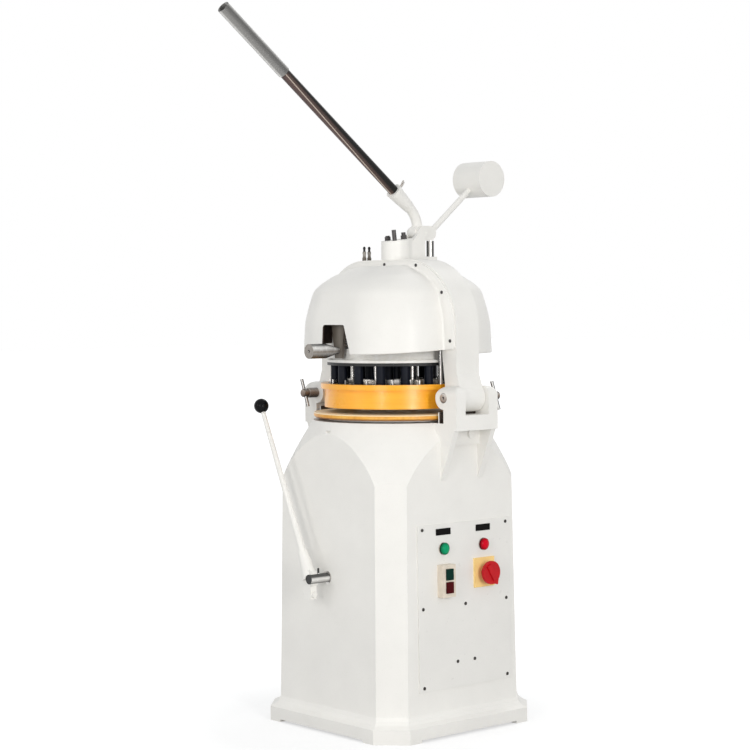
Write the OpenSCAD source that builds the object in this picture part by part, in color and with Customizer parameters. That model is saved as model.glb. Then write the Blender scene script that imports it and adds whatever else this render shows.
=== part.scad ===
// Dough divider rounder: cast floor body with a turned shoulder, an orbiting moulding plate,
// a hanging dividing ring under a domed head, and a long counterbalanced press lever.
// X points to the electric panel side, Y to the rear, Z up; the origin lies on the floor in the
// middle of the footprint from lever tip to counterweight. The modules are drawn about the press
// axis and shifted by placed(). Lengths are in millimetres.

/* [Body casting] */
// Width of the plinth across its flats
base_w = 620; // [560:1:700]
// Leg of the plinth corner chamfer
base_chamfer = 75; // [40:1:120]
// Height of the upright band of the plinth
plinth_h = 42; // [20:1:70]
// Height of the hollow flare between plinth and column
flare_h = 30; // [15:1:50]
// Width of the column across its flats where the flare ends
column_w = 566; // [540:1:590]
// Leg of the column corner chamfer
column_chamfer = 65; // [40:1:100]
// Draft of each column face, run per rise
column_draft = 0.0125; // [0.004:0.0005:0.02]
// Wall thickness of the casting
wall = 12; // [8:0.5:18]
// Height of the top deck above the floor
deck_z = 904; // [880:1:910]
// Thickness of the top deck
deck_t = 24; // [16:1:36]
// Radius of the deck edge
deck_r = 252; // [235:1:262]
// Height where the turned shoulder starts
shoulder_z = 715; // [680:1:760]
// Radius of the turned shoulder at its start
shoulder_r = 350; // [335:1:370]
// Bow of the shoulder curve
shoulder_bow = 1.25; // [1.05:0.05:1.6]
// Height of the arches between the corner feet
foot_arch_h = 8; // [4:0.5:14]
// Width of one corner foot along the plinth
foot_w = 120; // [80:1:180]
// Radius of the opening in the deck
deck_bore_r = 75; // [66:1:90]
// Width of the slot in the front shoulder
front_slot_w = 20; // [14:1:30]
// Height of the slot in the front shoulder
front_slot_h = 6; // [4:0.5:9]
// Depth of the slot in the front shoulder
front_slot_d = 7; // [4:0.5:8]
// Place of the slot below the deck
front_slot_drop = 27; // [22:1:40]

/* [Electric panel] */
// Width of the panel plate
panel_w = 370; // [350:1:390]
// Height of the panel plate
panel_h = 480; // [440:1:500]
// Thickness of the panel plate
panel_t = 3; // [2:0.5:5]
// Sideways place of the panel centre
panel_y = 10; // [0:1:16]
// Height of the panel centre
panel_z = 375; // [360:1:390]
// Margin of the panel around the window behind it
panel_margin = 30; // [26:1:40]
// Inset of the panel screws from the plate sides
screw_inset_y = 18; // [12:1:22]
// Inset of the panel screws from the plate ends
screw_inset_z = 13; // [10:1:20]
// Head radius of the panel screws
screw_head_r = 5; // [4:0.25:6.5]
// Head height of the panel screws
screw_head_h = 2.6; // [1.5:0.1:4]
// Shank radius of the panel screws
screw_r = 2.5; // [2:0.25:3]
// Length of the panel screw shanks
screw_len = 11; // [8:0.5:14]
// Sideways place of the start and stop side of the panel
start_y = -75; // [-85:1:-65]
// Sideways place of the main switch side of the panel
main_y = 84; // [75:1:95]
// Height of the pilot lamps
lamp_z = 543; // [535:1:550]
// Bezel radius of the pilot lamps
lamp_r = 18.5; // [15:0.5:20]
// Bezel height of the pilot lamps
lamp_h = 3.5; // [2:0.5:5]
// Lens radius of the pilot lamps
lens_r = 17.5; // [14:0.5:18.5]
// Height of the lens collar over its bezel
lens_collar = 5; // [3:0.5:7]
// Height of the lens dome over its collar
lens_h = 8; // [4:0.5:10]
// Height of the bare label plates
label_z = 592; // [588:1:596]
// Width of a label plate
label_w = 57; // [50:1:62]
// Height of a label plate face
label_h = 19; // [15:1:22]
// Thickness of a label plate
label_t = 1.5; // [1:0.25:2.5]
// Height of the push button box centre
box_z = 451; // [445:1:456]
// Width of the push button box
box_w = 50; // [46:1:56]
// Height of the push button box
box_h = 94; // [88:1:100]
// Depth of the push button box in front of the panel
box_d = 24; // [22:1:30]
// Width of a push button
button_w = 26; // [20:0.5:30]
// Height of a push button
button_h = 32; // [26:0.5:36]
// Stroke of a push button
button_stroke = 4; // [2:0.5:5]
// Spacing of the two push buttons
button_pitch = 38; // [36:0.5:42]
// Height of the main switch centre
switch_z = 461; // [456:1:472]
// Width of the main switch plate
switch_w = 80; // [74:1:86]
// Height of the main switch plate
switch_h = 86; // [80:1:92]
// Thickness of the main switch plate
switch_t = 6; // [4:0.5:9]
// Radius of the main switch knob
knob_r = 34; // [28:0.5:36]
// Side of the pointer corner of the main switch knob
knob_corner = 31; // [26:0.5:34]
// Turn of the pointer corner from the level
knob_point = -57; // [-90:1:90]
// Thickness of the main switch knob disc
knob_t = 8; // [6:0.5:12]
// Distance of the knob disc from its plate
knob_lift = 22; // [16:0.5:24]
// Radius of the knob neck behind the disc
knob_neck_r = 14; // [10:0.5:18]
// Length of the main switch pointer grip
grip_bar_l = 52; // [40:1:60]
// Width of the main switch pointer grip
grip_bar_w = 16; // [10:0.5:22]
// Rise of the main switch pointer grip over its disc
grip_bar_t = 4; // [2:0.5:8]
// Turn of the pointer grip away from upright
grip_bar_turn = 30; // [0:1:60]
// Width of the terminal block behind the panel
block_w = 110; // [100:1:120]
// Height of the terminal block behind the panel
block_h = 200; // [190:1:220]
// Depth of the terminal block behind the panel
block_d = 60; // [40:1:75]
// Spacing of the lower terminal block screws
block_pitch = 68; // [60:1:76]
// Height of the lower terminal block screws
block_screw_z = 210; // [205:1:215]
// Radius of the main switch shaft
knob_shaft_r = 7; // [5:0.5:9]
// Floor thickness of the push button box
box_floor = 4; // [3:0.5:5]
// Rise of the push buttons over their box
button_rise = 5; // [4.5:0.25:6]

/* [Drive] */
// Throw of the rounding motion
orbit = 8; // [5:0.5:10]
// Radius of the main spindle
spindle_r = 25; // [20:0.5:28]
// Radius of the crank pin that drives the table
crank_r = 15; // [12:0.5:18]
// Radius of the crank disc on top of the spindle
crank_disc_r = 44; // [38:0.5:50]
// Thickness of the crank disc
crank_disc_t = 8; // [6:0.5:8]
// Radius of the bearing housing tube
housing_r = 55; // [48:1:62]
// Radius of the bearing housing flange
housing_flange_r = 105; // [95:1:115]
// Thickness of the bearing housing flange
housing_flange_t = 16; // [12:1:20]
// Length of the bearing housing below the deck
housing_len = 110; // [90:1:125]
// Radius of the driven pulley
driven_r = 98; // [85:1:100]
// Radius of the motor pulley
drive_r = 35; // [28:1:42]
// Width of the belt pulleys
pulley_t = 28; // [22:1:32]
// Height of the belt pulley centre
pulley_z = 735; // [730:1:745]
// Thickness of the drive belt
belt_t = 8; // [6:0.5:10]
// Width of the drive belt
belt_w = 18; // [12:1:20]
// Distance of the motor shaft from the spindle
motor_y = 160; // [155:1:165]
// Radius of the motor barrel
motor_r = 68; // [60:1:70]
// Length of the motor barrel
motor_len = 250; // [200:1:280]
// Radius of the motor shaft
motor_shaft_r = 12; // [10:0.5:14]
// Thickness of the motor bracket plates
bracket_t = 10; // [8:0.5:12]
// Outer width of the motor bracket
bracket_w = 210; // [204:1:216]
// Depth of the motor bracket
bracket_d = 112; // [108:1:114]
// Height of the motor bracket floor
bracket_z = 692; // [686:1:698]
// Rim of the motor flange around its barrel
motor_rim = 12; // [8:1:16]

/* [Rounding table] */
// Radius of the table disc under the moulding plate
table_r = 215; // [190:1:225]
// Thickness of the table disc
table_t = 6; // [4:0.5:7]
// Radius of the table hub
table_hub_r = 34; // [28:0.5:40]
// Radius of the moulding plate
plate_r = 255; // [240:1:258]
// Thickness of the moulding plate
plate_t = 16; // [12:0.5:17]
// Bevel of the moulding plate rim
plate_bevel = 5; // [2:0.5:6]
// Clearance under the table disc
table_gap = 2; // [1:0.5:3]

/* [Rounding lever] */
// Height of the rounding shaft
round_z = 452; // [440:1:465]
// Radius of the rounding shaft
round_shaft_r = 14; // [13:0.5:16]
// Front end of the rounding shaft in front of the press axis
round_front = 348; // [345:1:360]
// Rear end of the rounding shaft in front of the press axis
round_rear = 200; // [190:1:215]
// Radius of the rounding shaft bush
bush_r = 17.5; // [16.5:0.25:22]
// Collar radius of the rounding shaft bush
bush_collar_r = 18.5; // [18:0.5:24]
// Place of the collar front face in front of the press axis
bush_front = 281; // [280.5:0.5:284]
// Radius of the rounding lever hub
round_hub_r = 26; // [23:0.5:30]
// Width of the rounding lever hub along its shaft
round_hub_w = 24; // [20:1:30]
// Distance of the hub front face behind the shaft end
round_hub_inset = 6; // [4:0.5:10]
// Width of the lug under the hub
round_lug_w = 30; // [26:1:36]
// Reach of the lug below the shaft
round_lug_drop = 60; // [52:1:66]
// Distance of the hub middle to the left of the shaft axis
round_hub_off = 16; // [14:0.5:18]
// Place of the open side of the hub to the right of the shaft axis
round_hub_open = 3; // [2:0.5:4]
// Radius of the stop pin on the shaft
stop_pin_r = 3; // [2.5:0.25:4]
// Height of the stop pin above the shaft axis
stop_pin_h = 30; // [24:1:34]
// Distance of the stop pin behind the hub
stop_pin_gap = 6; // [5:0.5:9]
// Shank radius of the lug bolt
lug_bolt_r = 5; // [4:0.25:6]
// Head radius of the lug bolt
lug_bolt_head_r = 9; // [8:0.25:11]
// Head height of the lug bolt
lug_bolt_head_h = 7; // [5:0.5:9]
// Lean of the rounding lever arm
round_lean = 24.2; // [22:0.1:30]
// Length of the rounding lever from the shaft to its ball
round_len = 543; // [500:1:570]
// Length of the arm socket on the hub
round_socket_len = 84; // [72:1:95]
// Socket radius at the hub
round_socket_r = 22; // [18:0.5:24]
// Socket radius at its mouth
round_mouth_r = 14.5; // [14.5:0.5:18]
// Arm radius in the socket
round_arm_r = 11; // [9.5:0.5:13]
// Arm radius at the ball
round_tip_r = 6.5; // [5.5:0.5:9]
// Radius of the ball
round_ball_r = 22; // [18:0.5:26]

/* [Saddles and pins] */
// Distance of the saddle pins from the press axis
pin_x = 287; // [282:1:292]
// Height of the saddle pins
pin_z = 977; // [970:1:984]
// Radius of the saddle pins
pin_r = 14.5; // [12:0.5:16]
// Radius of the saddle lobes around the pins
lobe_r = 33; // [29:0.5:35]
// Middle of the saddles and of the yoke behind the press axis
head_y = 5; // [3:0.5:8]
// Length of a saddle from front to rear
saddle_len = 165; // [160:1:170]
// Thickness of a saddle cheek
cheek_t = 36; // [32:0.5:37]
// Width of a saddle above the deck
saddle_w = 54; // [46:1:58]
// Inner face of a saddle above the deck
saddle_in = 288; // [284:1:290]
// Height of the underside of a saddle
saddle_z = 884; // [880:1:888]
// Height of the seat between the cheeks
seat_z = 928; // [926:0.5:930]
// Distance of the seat lip from the press axis
lip_in = 266; // [264.5:0.5:267]
// Thickness of the seat lip
lip_t = 4; // [3:0.5:5]
// Height of the seat lip
lip_z = 936; // [930:0.5:937]
// Round of the upper saddle corners
saddle_round = 26; // [18:1:27]
// Inner reach of the saddle shelf
shelf_in = 240; // [232:1:248]
// Thickness of a saddle rib
rib_t = 18; // [12:0.5:22]
// Height of the rib foot on the column
rib_z = 738; // [725:1:755]
// Face of the bolting web under a saddle
web_out = 284; // [280:1:300]
// Underside of the bolting web
web_z = 838; // [830:1:845]
// Height of the saddle bolts
saddle_bolt_z = 870; // [866:1:874]
// Spacing of the saddle bolts
saddle_bolt_pitch = 58; // [50:1:70]
// Shank radius of the saddle bolts
saddle_bolt_r = 8; // [6:0.5:9]
// Head radius of the saddle bolts
saddle_bolt_head_r = 14; // [12:0.5:16]
// Head height of the saddle bolts
saddle_bolt_head_h = 7; // [5:0.5:9]
// Length of the saddle bolt shanks
saddle_bolt_len = 46; // [40:1:52]
// Free length of a pin screw in front of its cheek
pin_tail = 36; // [28:1:48]
// Length of the pin screw head
pin_head_len = 18; // [14:0.5:22]
// Radius of the pin screw head
pin_head_r = 12; // [10:0.5:14]
// Radius of a tommy bar
tommy_r = 5; // [3:0.25:5.5]
// Length of a tommy bar
tommy_len = 88; // [70:1:100]
// Turn of the tommy bars away from upright
tommy_turn = 20; // [0:1:45]

/* [Yoke and covers] */
// Thickness of the yoke from front to rear
yoke_t = 90; // [86:0.5:91]
// Outer half width of the yoke
yoke_half = 304; // [296:1:310]
// Top of the yoke
yoke_top = 1380; // [1370:1:1390]
// Radius of the yoke shoulders
yoke_round = 205; // [180:1:215]
// Thickness of the yoke arch
yoke_arch = 60; // [50:1:66]
// Radius of the yoke feet around the pins
foot_r = 42; // [38:0.5:44]
// Height where the legs reach their full width
leg_full_z = 1105; // [1090:1:1130]
// Inner half width between the legs just above the feet
leg_in_low = 256; // [250:1:260]
// Height of the bend above the feet
leg_low_z = 1004; // [996:1:1012]
// Half width of the domed covers at their rim
dome_half = 258; // [245:1:265]
// Depth of a domed cover from the yoke
dome_depth = 206; // [190:1:215]
// Height of the cover rim
rim_z = 1112; // [1100:1:1122]
// Height of the dome above the rim
dome_h = 260; // [245:1:264]
// Inset of the dome top
dome_inset = 155; // [135:1:165]
// Round of the dome corners as a share of its half width
dome_corner_share = 0.72; // [0.5:0.01:0.85]
// Wall thickness of the covers
cover_t = 5; // [4:0.5:6]
// Drop of the rear cover rim under the front one
rear_skirt = 11; // [0:1:14]
// Thickness of the cover flange
flange_t = 5; // [4:0.5:7]
// Reveal of the yoke around the cover flange
flange_reveal = 5; // [3:0.5:8]
// Distance of the side flange screws from the yoke outline
side_screw_in = 21; // [18:0.5:24]
// Distance of the top flange screws from the yoke outline
top_screw_in = 14; // [12:0.5:15]
// Height of the lowest flange screws
low_screw_z = 1141; // [1132:1:1155]
// Head radius of the flange screws
flange_screw_r = 5; // [4:0.25:5.5]
// Width of the notch in the front cover
notch_w = 115; // [100:1:130]
// Height of the notch in the front cover
notch_h = 73; // [60:1:85]
// Sideways place of the notch
notch_x = -14; // [-25:1:0]
// Lean of the slanted notch side
notch_lean = 20; // [0:1:30]

/* [Crown] */
// Radius of the round crown boss
crown_r = 43; // [42:0.5:48]
// Radius of the hollow between the crown boss and a fork cheek
crown_fillet = 30; // [20:1:36]
// Rise of the crown top towards the rear
crown_tilt = 7; // [0:0.5:9]
// Height of the crown boss
crown_h = 60; // [50:1:66]
// Thickness of the rear crown shelf
crown_shelf_t = 11; // [9:0.5:16]
// Rear end of the crown shelf behind the press axis
crown_shelf_end = 155; // [152:1:160]
// Bevel of the crown boss rim
crown_bevel = 4; // [2:0.5:8]
// Cap of the crown boss over the ram
crown_cap = 20; // [16:1:24]
// Place of the lever pivot behind the press axis
pivot_y = 88; // [82:1:92]
// Height of the lever pivot
pivot_z = 1462; // [1456:1:1468]
// Radius of the pivot pin
pivot_r = 11; // [9:0.5:12]
// Radius of the fork cheeks around the pivot
fork_r = 18; // [16:0.5:20]
// Reach of a fork cheek behind the pivot
fork_back = 8; // [6:0.5:14]
// Thickness of a fork cheek
fork_t = 11; // [8:0.5:14]
// Gap between the fork cheeks
fork_gap = 32; // [28:0.5:36]
// Radius of the stop post
stop_r = 11.5; // [9:0.5:13]
// Place of the stop post behind the press axis
stop_y = 141; // [138:1:144]
// Clearance between the stop post and the lever tail
stop_gap = 1; // [0.5:0.25:2]
// Nut radius on the crown boss
crown_nut_r = 10; // [9:0.5:11]
// Nut height on the crown boss
crown_nut_h = 11; // [8:0.5:13]
// Radius of the crown studs
crown_stud_r = 6.5; // [5:0.5:7]
// Height of the tall crown stud
crown_stud_h = 32; // [24:1:36]
// Stud end above the rear nut
stud_end_h = 9; // [6:0.5:12]
// Stud end above the front nut
stud_end_low = 3; // [2:0.5:5]
// Distance of the crown fasteners from the press axis
crown_stud_dist = 28; // [26:0.5:30]
// Turn of the first crown fastener
crown_stud_turn = 73; // [0:1:119]
// Radius of the oiler foot
oiler_r = 7; // [5:0.5:9]
// Height of the oilers
oiler_h = 43; // [26:1:48]
// Sideways place of the oilers
oiler_x = -116; // [-124:1:-106]

/* [Press and ring] */
// Inner radius of the dividing ring
ring_in = 205; // [200:1:208]
// Outer radius of the dividing ring
ring_out = 217; // [214:1:220]
// Radius of the dividing ring flange
ring_flange_r = 228; // [224:1:232]
// Height of the dividing ring underside
ring_z = 943; // [940:1:948]
// Height of the dividing ring
ring_h = 71; // [60:1:80]
// Thickness of the dividing ring flange
ring_flange_t = 16; // [12:0.5:20]
// Radius of the ring tie rods
tie_r = 6; // [5:0.25:7]
// Distance of the tie rods from the press axis
tie_x = 219; // [217:0.5:220]
// Spacing of the tie rods from front to rear
tie_pitch = 56; // [44:1:64]
// Radius of the press plate
press_r = 208; // [200:1:209]
// Thickness of the press plate rim
press_t = 17; // [12:0.5:20]
// Height of the press plate underside
press_z = 1068; // [1060:1:1076]
// Radius of the press plate casting over its rim
press_boss_r = 190; // [170:1:195]
// Height of the press plate casting over its rim
press_boss_h = 33; // [26:1:36]
// Stroke of the press
press_stroke = 40; // [30:1:42]
// Radius of the ram
ram_r = 26; // [22:0.5:30]
// Radius of a press column
column_r = 13.5; // [11:0.5:14.5]
// Radius of the outer column circle
column_ring_r = 185; // [180:1:187]
// Thickness of a press pad
pad_t = 12; // [8:0.5:14]
// Underside of the press pads
pad_z = 985; // [978:1:990]
// Gap between press pads
pad_gap = 4; // [3:0.25:5]
// Thickness of the knives
knife_t = 2.4; // [1.6:0.1:2.6]
// Height of the knives
knife_h = 40; // [30:1:44]
// Lift of the knife edges over the pad faces
knife_lift = 1; // [0.5:0.25:2]
// Stroke of the knives
knife_stroke = 15; // [8:0.5:15]
// Radius of the knife rods
knife_rod_r = 5; // [4:0.25:6]
// Length of the knife rods above the knives
knife_rod_len = 120; // [110:1:125]

/* [Press lever] */
// Rise of the press lever over level
lever_rise = 38; // [34:0.5:42]
// Place of the lever bend behind the press axis
bend_y = 88; // [84:1:92]
// Height of the lever bend
bend_z = 1513.1; // [1506:0.1:1520]
// Place of the lever tail behind the press axis
tail_y = 130; // [126:1:134]
// Radius of the lever tail
tail_r = 22; // [18:0.5:22.5]
// Radius of the lever hub
lever_hub_r = 23; // [20:0.5:25]
// Width of the lever hub
lever_hub_w = 30; // [26:0.5:31]
// Radius of the round lever neck
neck_r = 15.5; // [13:0.5:15.5]
// Radius of the lever elbow along its middle
elbow_r = 80; // [60:1:90]
// Length of the lever socket from the bend
socket_len = 120.8; // [114:0.1:128]
// Socket radius at the elbow
socket_r = 17; // [16:0.5:19]
// Socket radius at its mouth
socket_mouth_r = 24.5; // [20:0.5:26]
// Radius of the lever tube
tube_r = 15.5; // [14:0.5:16]
// Depth of the tube in its socket
tube_depth = 80; // [60:1:90]
// Distance of the grip from the bend along the lever
grip_start = 645.8; // [620:0.1:664]
// Radius of the lever grip
lever_grip_r = 18.5; // [17:0.5:20]
// Length of the lever grip
lever_grip_len = 270; // [240:1:290]
// Wall thickness of the lever tube and grip
tube_wall = 3; // [2:0.25:4]
// Place of the counterweight rod's foot behind the press axis
weight_y = 138; // [132:1:142]
// Rise of the counterweight rod over level
weight_rise = 39; // [35:0.5:43]
// Distance of the counterweight from the lever tail
weight_dist = 270; // [255:1:285]
// Radius of the counterweight
weight_r = 55; // [48:1:62]
// Length of the counterweight
weight_len = 117; // [100:1:135]
// Radius of the counterweight rod
weight_rod_r = 9; // [7:0.5:11]
// Radius of the lever clamp screw
wing_r = 4; // [3:0.25:5]
// Height of the lever clamp screw over the socket
wing_h = 22; // [16:1:28]
// Span of the lever clamp wings
wing_w = 22; // [16:1:30]
// Turn of the wing about its screw
wing_turn = -48; // [-90:1:90]

/* [Knife handle] */
// Height of the knife handle pivot
handle_pivot_z = 1232; // [1225:1:1240]
// Radius of the knife handle pivot
handle_pivot_r = 8; // [6:0.5:9]
// Place of the knife handle arm in front of the press axis
handle_y = 202; // [200:0.5:204]
// Thickness of the knife handle arm
handle_t = 10; // [8:0.5:12]
// Width of the knife handle arm at its pivot
handle_top_w = 70; // [60:1:74]
// Width of the knife handle arm at its lower end
handle_low_w = 29; // [24:0.5:34]
// Height of the lower end of the knife handle arm
handle_low_z = 1090; // [1085:1:1096]
// Height of the knife handle grip
handle_grip_z = 1113; // [1104:1:1116]
// Outer radius of the knife handle grip
handle_grip_r = 21.5; // [16:0.5:23]
// Inner radius of the knife handle grip
handle_neck_r = 9; // [8:0.5:14]
// Length of the knife handle grip
handle_grip_len = 111; // [100:1:136]
// Length of the taper of the grip
handle_taper = 50; // [40:1:60]
// Place of the handle to the right of the press axis
handle_x = -20; // [-20:0.5:-12]

/* [Fits] */
// Running clearance of turning and sliding fits
run_fit = 0.05; // [0.02:0.01:0.1]
// Clearance between pieces that must stay apart
clear = 0.5; // [0.3:0.1:0.8]
// Overrun of cuts past a face
overrun = 3; // [1:0.5:5]

/* [Hidden] */
$fn = 96;

// Shares of the flare from plinth to column, rise and run
flare_rise_shares = [0, 0.3, 0.62, 1];
flare_run_shares = [0, 0.55, 0.85, 1];
// Shares of the dome from rim to top, rise and inset
dome_rise_shares = [0, 0.32, 0.49, 0.68, 0.765, 0.85, 0.905, 0.94, 0.955];
dome_inset_shares = [0, 0.03, 0.09, 0.18, 0.32, 0.535, 0.76, 0.9, 1];
// Angles of the flange screws around the yoke shoulders
side_screw_turn = 35.3;
top_screw_turn = 77.8;
// Steps of the turned shoulder curve
shoulder_steps = 8;
// Pieces cut by the inner, middle and outer knife rings
inner_cuts = 4;
middle_cuts = 10;
outer_cuts = 16;
all_cuts = inner_cuts + middle_cuts + outer_cuts;
knife_rods = 8;
// Steps of a lamp lens dome
lens_steps = 8;

flare_top = plinth_h + flare_h;
draft_angle = atan(column_draft);
cavity_top = deck_z - deck_t;
front_slot_r = turn_r(1 - front_slot_drop / (deck_z - shoulder_z));
saddle_y0 = head_y - saddle_len / 2;
saddle_y1 = head_y + saddle_len / 2;
saddle_top = pin_z + lobe_r;
saddle_out = saddle_in + saddle_w;
yoke_y0 = head_y - yoke_t / 2;
yoke_y1 = head_y + yoke_t / 2;
yoke_cx = yoke_half - yoke_round;
yoke_cz = yoke_top - yoke_round;
yoke_in = yoke_half - yoke_arch;
crown_top = yoke_top + crown_h;
ring_top = ring_z + ring_h;
press_top = press_z + press_t;
boss_top = press_top + press_boss_h;
pad_top = pad_z + pad_t;
knife_z = pad_z + knife_lift;
knife_top = knife_z + knife_h;
table_z = deck_z + table_gap;
plate_z = table_z + table_t;
crank_z = cavity_top + table_gap;
crank_top = crank_z + crank_disc_t;
bush_seat = column_w / 2 - column_draft * (round_z - flare_top) - column_draft * bush_collar_r - clear;
cut_r1 = ring_in * sqrt(inner_cuts / all_cuts);
cut_r2 = ring_in * sqrt((inner_cuts + middle_cuts) / all_cuts);
middle_column_r = (cut_r1 + cut_r2) / 2;
inner_column_r = cut_r1 * 0.6;
hub_mid_y = -round_front + round_hub_inset + round_hub_w / 2;
// Front of the lever tip and rear of the counterweight, and the shift to their middle
tip_y = bend_y - (grip_start + lever_grip_len) * cos(lever_rise) - lever_grip_r * sin(lever_rise);
tail_end_y = weight_y + weight_dist * cos(weight_rise) + weight_r;
origin_y = -(tip_y + tail_end_y) / 2;
panel_face = panel_t;
switch_face = panel_t + switch_t + clear;
knob_face = switch_face + knob_lift;

white = [0.9, 0.9, 0.87];
steel = [0.72, 0.73, 0.75];
dark = [0.12, 0.13, 0.16];

// Shifts a node from the press axis to the origin of the part
module placed() {
  translate([0, origin_y, 0]) children();
}

// Half width of the column at a height
function col_half(z) = column_w / 2 - column_draft * (z - flare_top);
// Radius of the turned shoulder at a share of its rise
function turn_r(t) = shoulder_r - (shoulder_r - deck_r) * pow(t, shoulder_bow);
function mix(a, b, t) = a + (b - a) * t;

// Outline drawn from half widths at rising levels
module half_outline(levels, halves) {
  n = len(levels) - 1;
  polygon(concat([for (i = [0:n]) [halves[i], levels[i]]],
                 [for (i = [n:-1:0]) [-halves[i], levels[i]]]));
}

// Square tower with chamfered corners, from half widths and chamfer legs at rising levels
module tower(levels, halves, legs) {
  n = len(levels) - 1;
  across = [for (i = [0:n]) (2 * halves[i] - legs[i]) / sqrt(2)];
  turns = [for (i = [0:n]) levels[i] + (i == 0 ? -overrun : i == n ? overrun : clear)];
  intersection() {
    slab_y(-base_w, base_w) half_outline(levels, halves);
    slab_x(-base_w, base_w) half_outline(levels, halves);
    rotate([0, 0, 45]) slab_y(-base_w, base_w) half_outline(turns, across);
    rotate([0, 0, 45]) slab_x(-base_w, base_w) half_outline(turns, across);
  }
}

// Turned envelope that gives the column its round shoulder
module turned(inset) {
  curve = [for (i = [0:shoulder_steps]) let (t = i / shoulder_steps)
    [turn_r(t) - inset, mix(shoulder_z, deck_z, t)]];
  rotate_extrude()
    polygon(concat([[0, -2 * overrun], [base_w, -2 * overrun], [base_w, shoulder_z]],
                   curve, [[0, deck_z]]));
}

module cavity() {
  leg = column_chamfer - wall * (2 - sqrt(2));
  intersection() {
    tower([-overrun, cavity_top], [col_half(-overrun) - wall, col_half(cavity_top) - wall], [leg, leg]);
    turned(wall);
  }
}

module body_outer() {
  levels = concat([0], [for (s = flare_rise_shares) plinth_h + flare_h * s], [deck_z]);
  halves = concat([base_w / 2], [for (s = flare_run_shares) mix(base_w, column_w, s) / 2],
                  [col_half(deck_z)]);
  legs = concat([base_chamfer], [for (s = flare_run_shares) mix(base_chamfer, column_chamfer, s)],
                [column_chamfer]);
  intersection() {
    tower(levels, halves, legs);
    turned(0);
  }
}

// Places children on the panel face, local X out of the face
module on_panel(y, z) {
  translate([col_half(panel_z) + run_fit, 0, panel_z])
    rotate([0, -draft_angle, 0])
      translate([0, y, z - panel_z]) children();
}

// Round bar along local X
module bar_x(r, x0, x1) {
  translate([x0, 0, 0]) rotate([0, 90, 0]) cylinder(h = x1 - x0, r = r);
}

// Round bar along Y
module bar_y(r, y0, y1) {
  translate([0, y1, 0]) rotate([90, 0, 0]) cylinder(h = y1 - y0, r = r);
}

// Extrusion along Y of a shape drawn in X and Z
module slab_y(y0, y1) {
  translate([0, y1, 0]) rotate([90, 0, 0]) linear_extrude(y1 - y0) children();
}

// Extrusion along X of a shape drawn in Y and Z
module slab_x(x0, x1) {
  translate([x0, 0, 0]) rotate([90, 0, 90]) linear_extrude(x1 - x0) children();
}

// Flat block from x0 to x1 with its middle on Y and Z
module face_block(x0, x1, w, h) {
  translate([x0, -w / 2, -h / 2]) cube([x1 - x0, w, h]);
}

// Same thing on the other side of the press axis
module other_side() {
  translate([0, head_y, 0]) rotate([0, 0, 180]) translate([0, -head_y, 0]) children();
}

panel_screw_places = [for (sy = [-1, 1]) for (sz = [-1, 0, 1])
  [panel_y + sy * (panel_w / 2 - screw_inset_y), panel_z + sz * (panel_h / 2 - screw_inset_z)]];
block_screw_places = [[panel_y, panel_z], [panel_y - block_pitch / 2, block_screw_z],
                      [panel_y + block_pitch / 2, block_screw_z]];
block_z = (panel_z + block_screw_z) / 2;
saddle_bolt_places = [for (s = [-1, 1]) head_y + s * saddle_bolt_pitch / 2];

module screw_cores() {
  for (p = concat(panel_screw_places, block_screw_places))
    on_panel(p[0], p[1]) bar_x(screw_r, panel_t - screw_len, panel_t);
}

module saddle_bolt_cores() {
  for (y = saddle_bolt_places)
    translate([0, y, saddle_bolt_z]) bar_x(saddle_bolt_r, web_out - saddle_bolt_len, web_out);
}

module base_casting() color(white)
  difference() {
    body_outer();
    cavity();
    translate([0, 0, cavity_top - overrun]) cylinder(h = deck_t + 2 * overrun, r = deck_bore_r);
    on_panel(panel_y, panel_z)
      face_block(-2 * wall - overrun, overrun, panel_w - 2 * panel_margin, panel_h - 2 * panel_margin);
    screw_cores();
    translate([0, 0, round_z]) {
      bar_y(bush_r, -base_w / 2, -round_rear);
      bar_y(bush_collar_r, -base_w / 2, -bush_seat);
    }
    saddle_bolt_cores();
    other_side() saddle_bolt_cores();
    translate([-front_slot_w / 2, -base_w, deck_z - front_slot_drop - front_slot_h / 2])
      cube([front_slot_w, base_w - front_slot_r + front_slot_d, front_slot_h]);
    for (turn = [0, 90])
      rotate([0, 0, turn])
        cube([base_w + overrun, base_w - 2 * foot_w, 2 * foot_arch_h], center = true);
  }

module electrical_panel() color(white)
  difference() {
    on_panel(panel_y, panel_z) face_block(0, panel_t, panel_w, panel_h);
    screw_cores();
    on_panel(main_y, switch_z) bar_x(knob_shaft_r + clear, -overrun, panel_t + overrun);
  }

module panel_screws() color(steel) {
  screw_cores();
  for (p = concat(panel_screw_places, block_screw_places))
    on_panel(p[0], p[1]) bar_x(screw_head_r, panel_t, panel_t + screw_head_h);
}

module label_plates() color(dark)
  for (y = [start_y, main_y])
    on_panel(y, label_z) face_block(panel_face, panel_face + label_t, label_w, label_h);

module lamp_bezels() color(steel)
  for (y = [start_y, main_y])
    on_panel(y, lamp_z) bar_x(lamp_r, panel_face, panel_face + lamp_h);

module lens(y) {
  ball = (lens_r * lens_r + lens_h * lens_h) / (2 * lens_h);
  sweep = asin(lens_r / ball);
  cap = [for (i = [0:lens_steps]) let (a = sweep * (1 - i / lens_steps))
    [ball * sin(a), lens_collar + lens_h - ball + ball * cos(a)]];
  on_panel(y, lamp_z) translate([panel_face + lamp_h, 0, 0]) rotate([0, 90, 0]) rotate_extrude()
    polygon(concat([[0, 0], [lens_r, 0]], cap));
}

module green_lens() color([0.06, 0.7, 0.45]) lens(start_y);
module red_lens() color([0.85, 0.05, 0.2]) lens(main_y);

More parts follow.
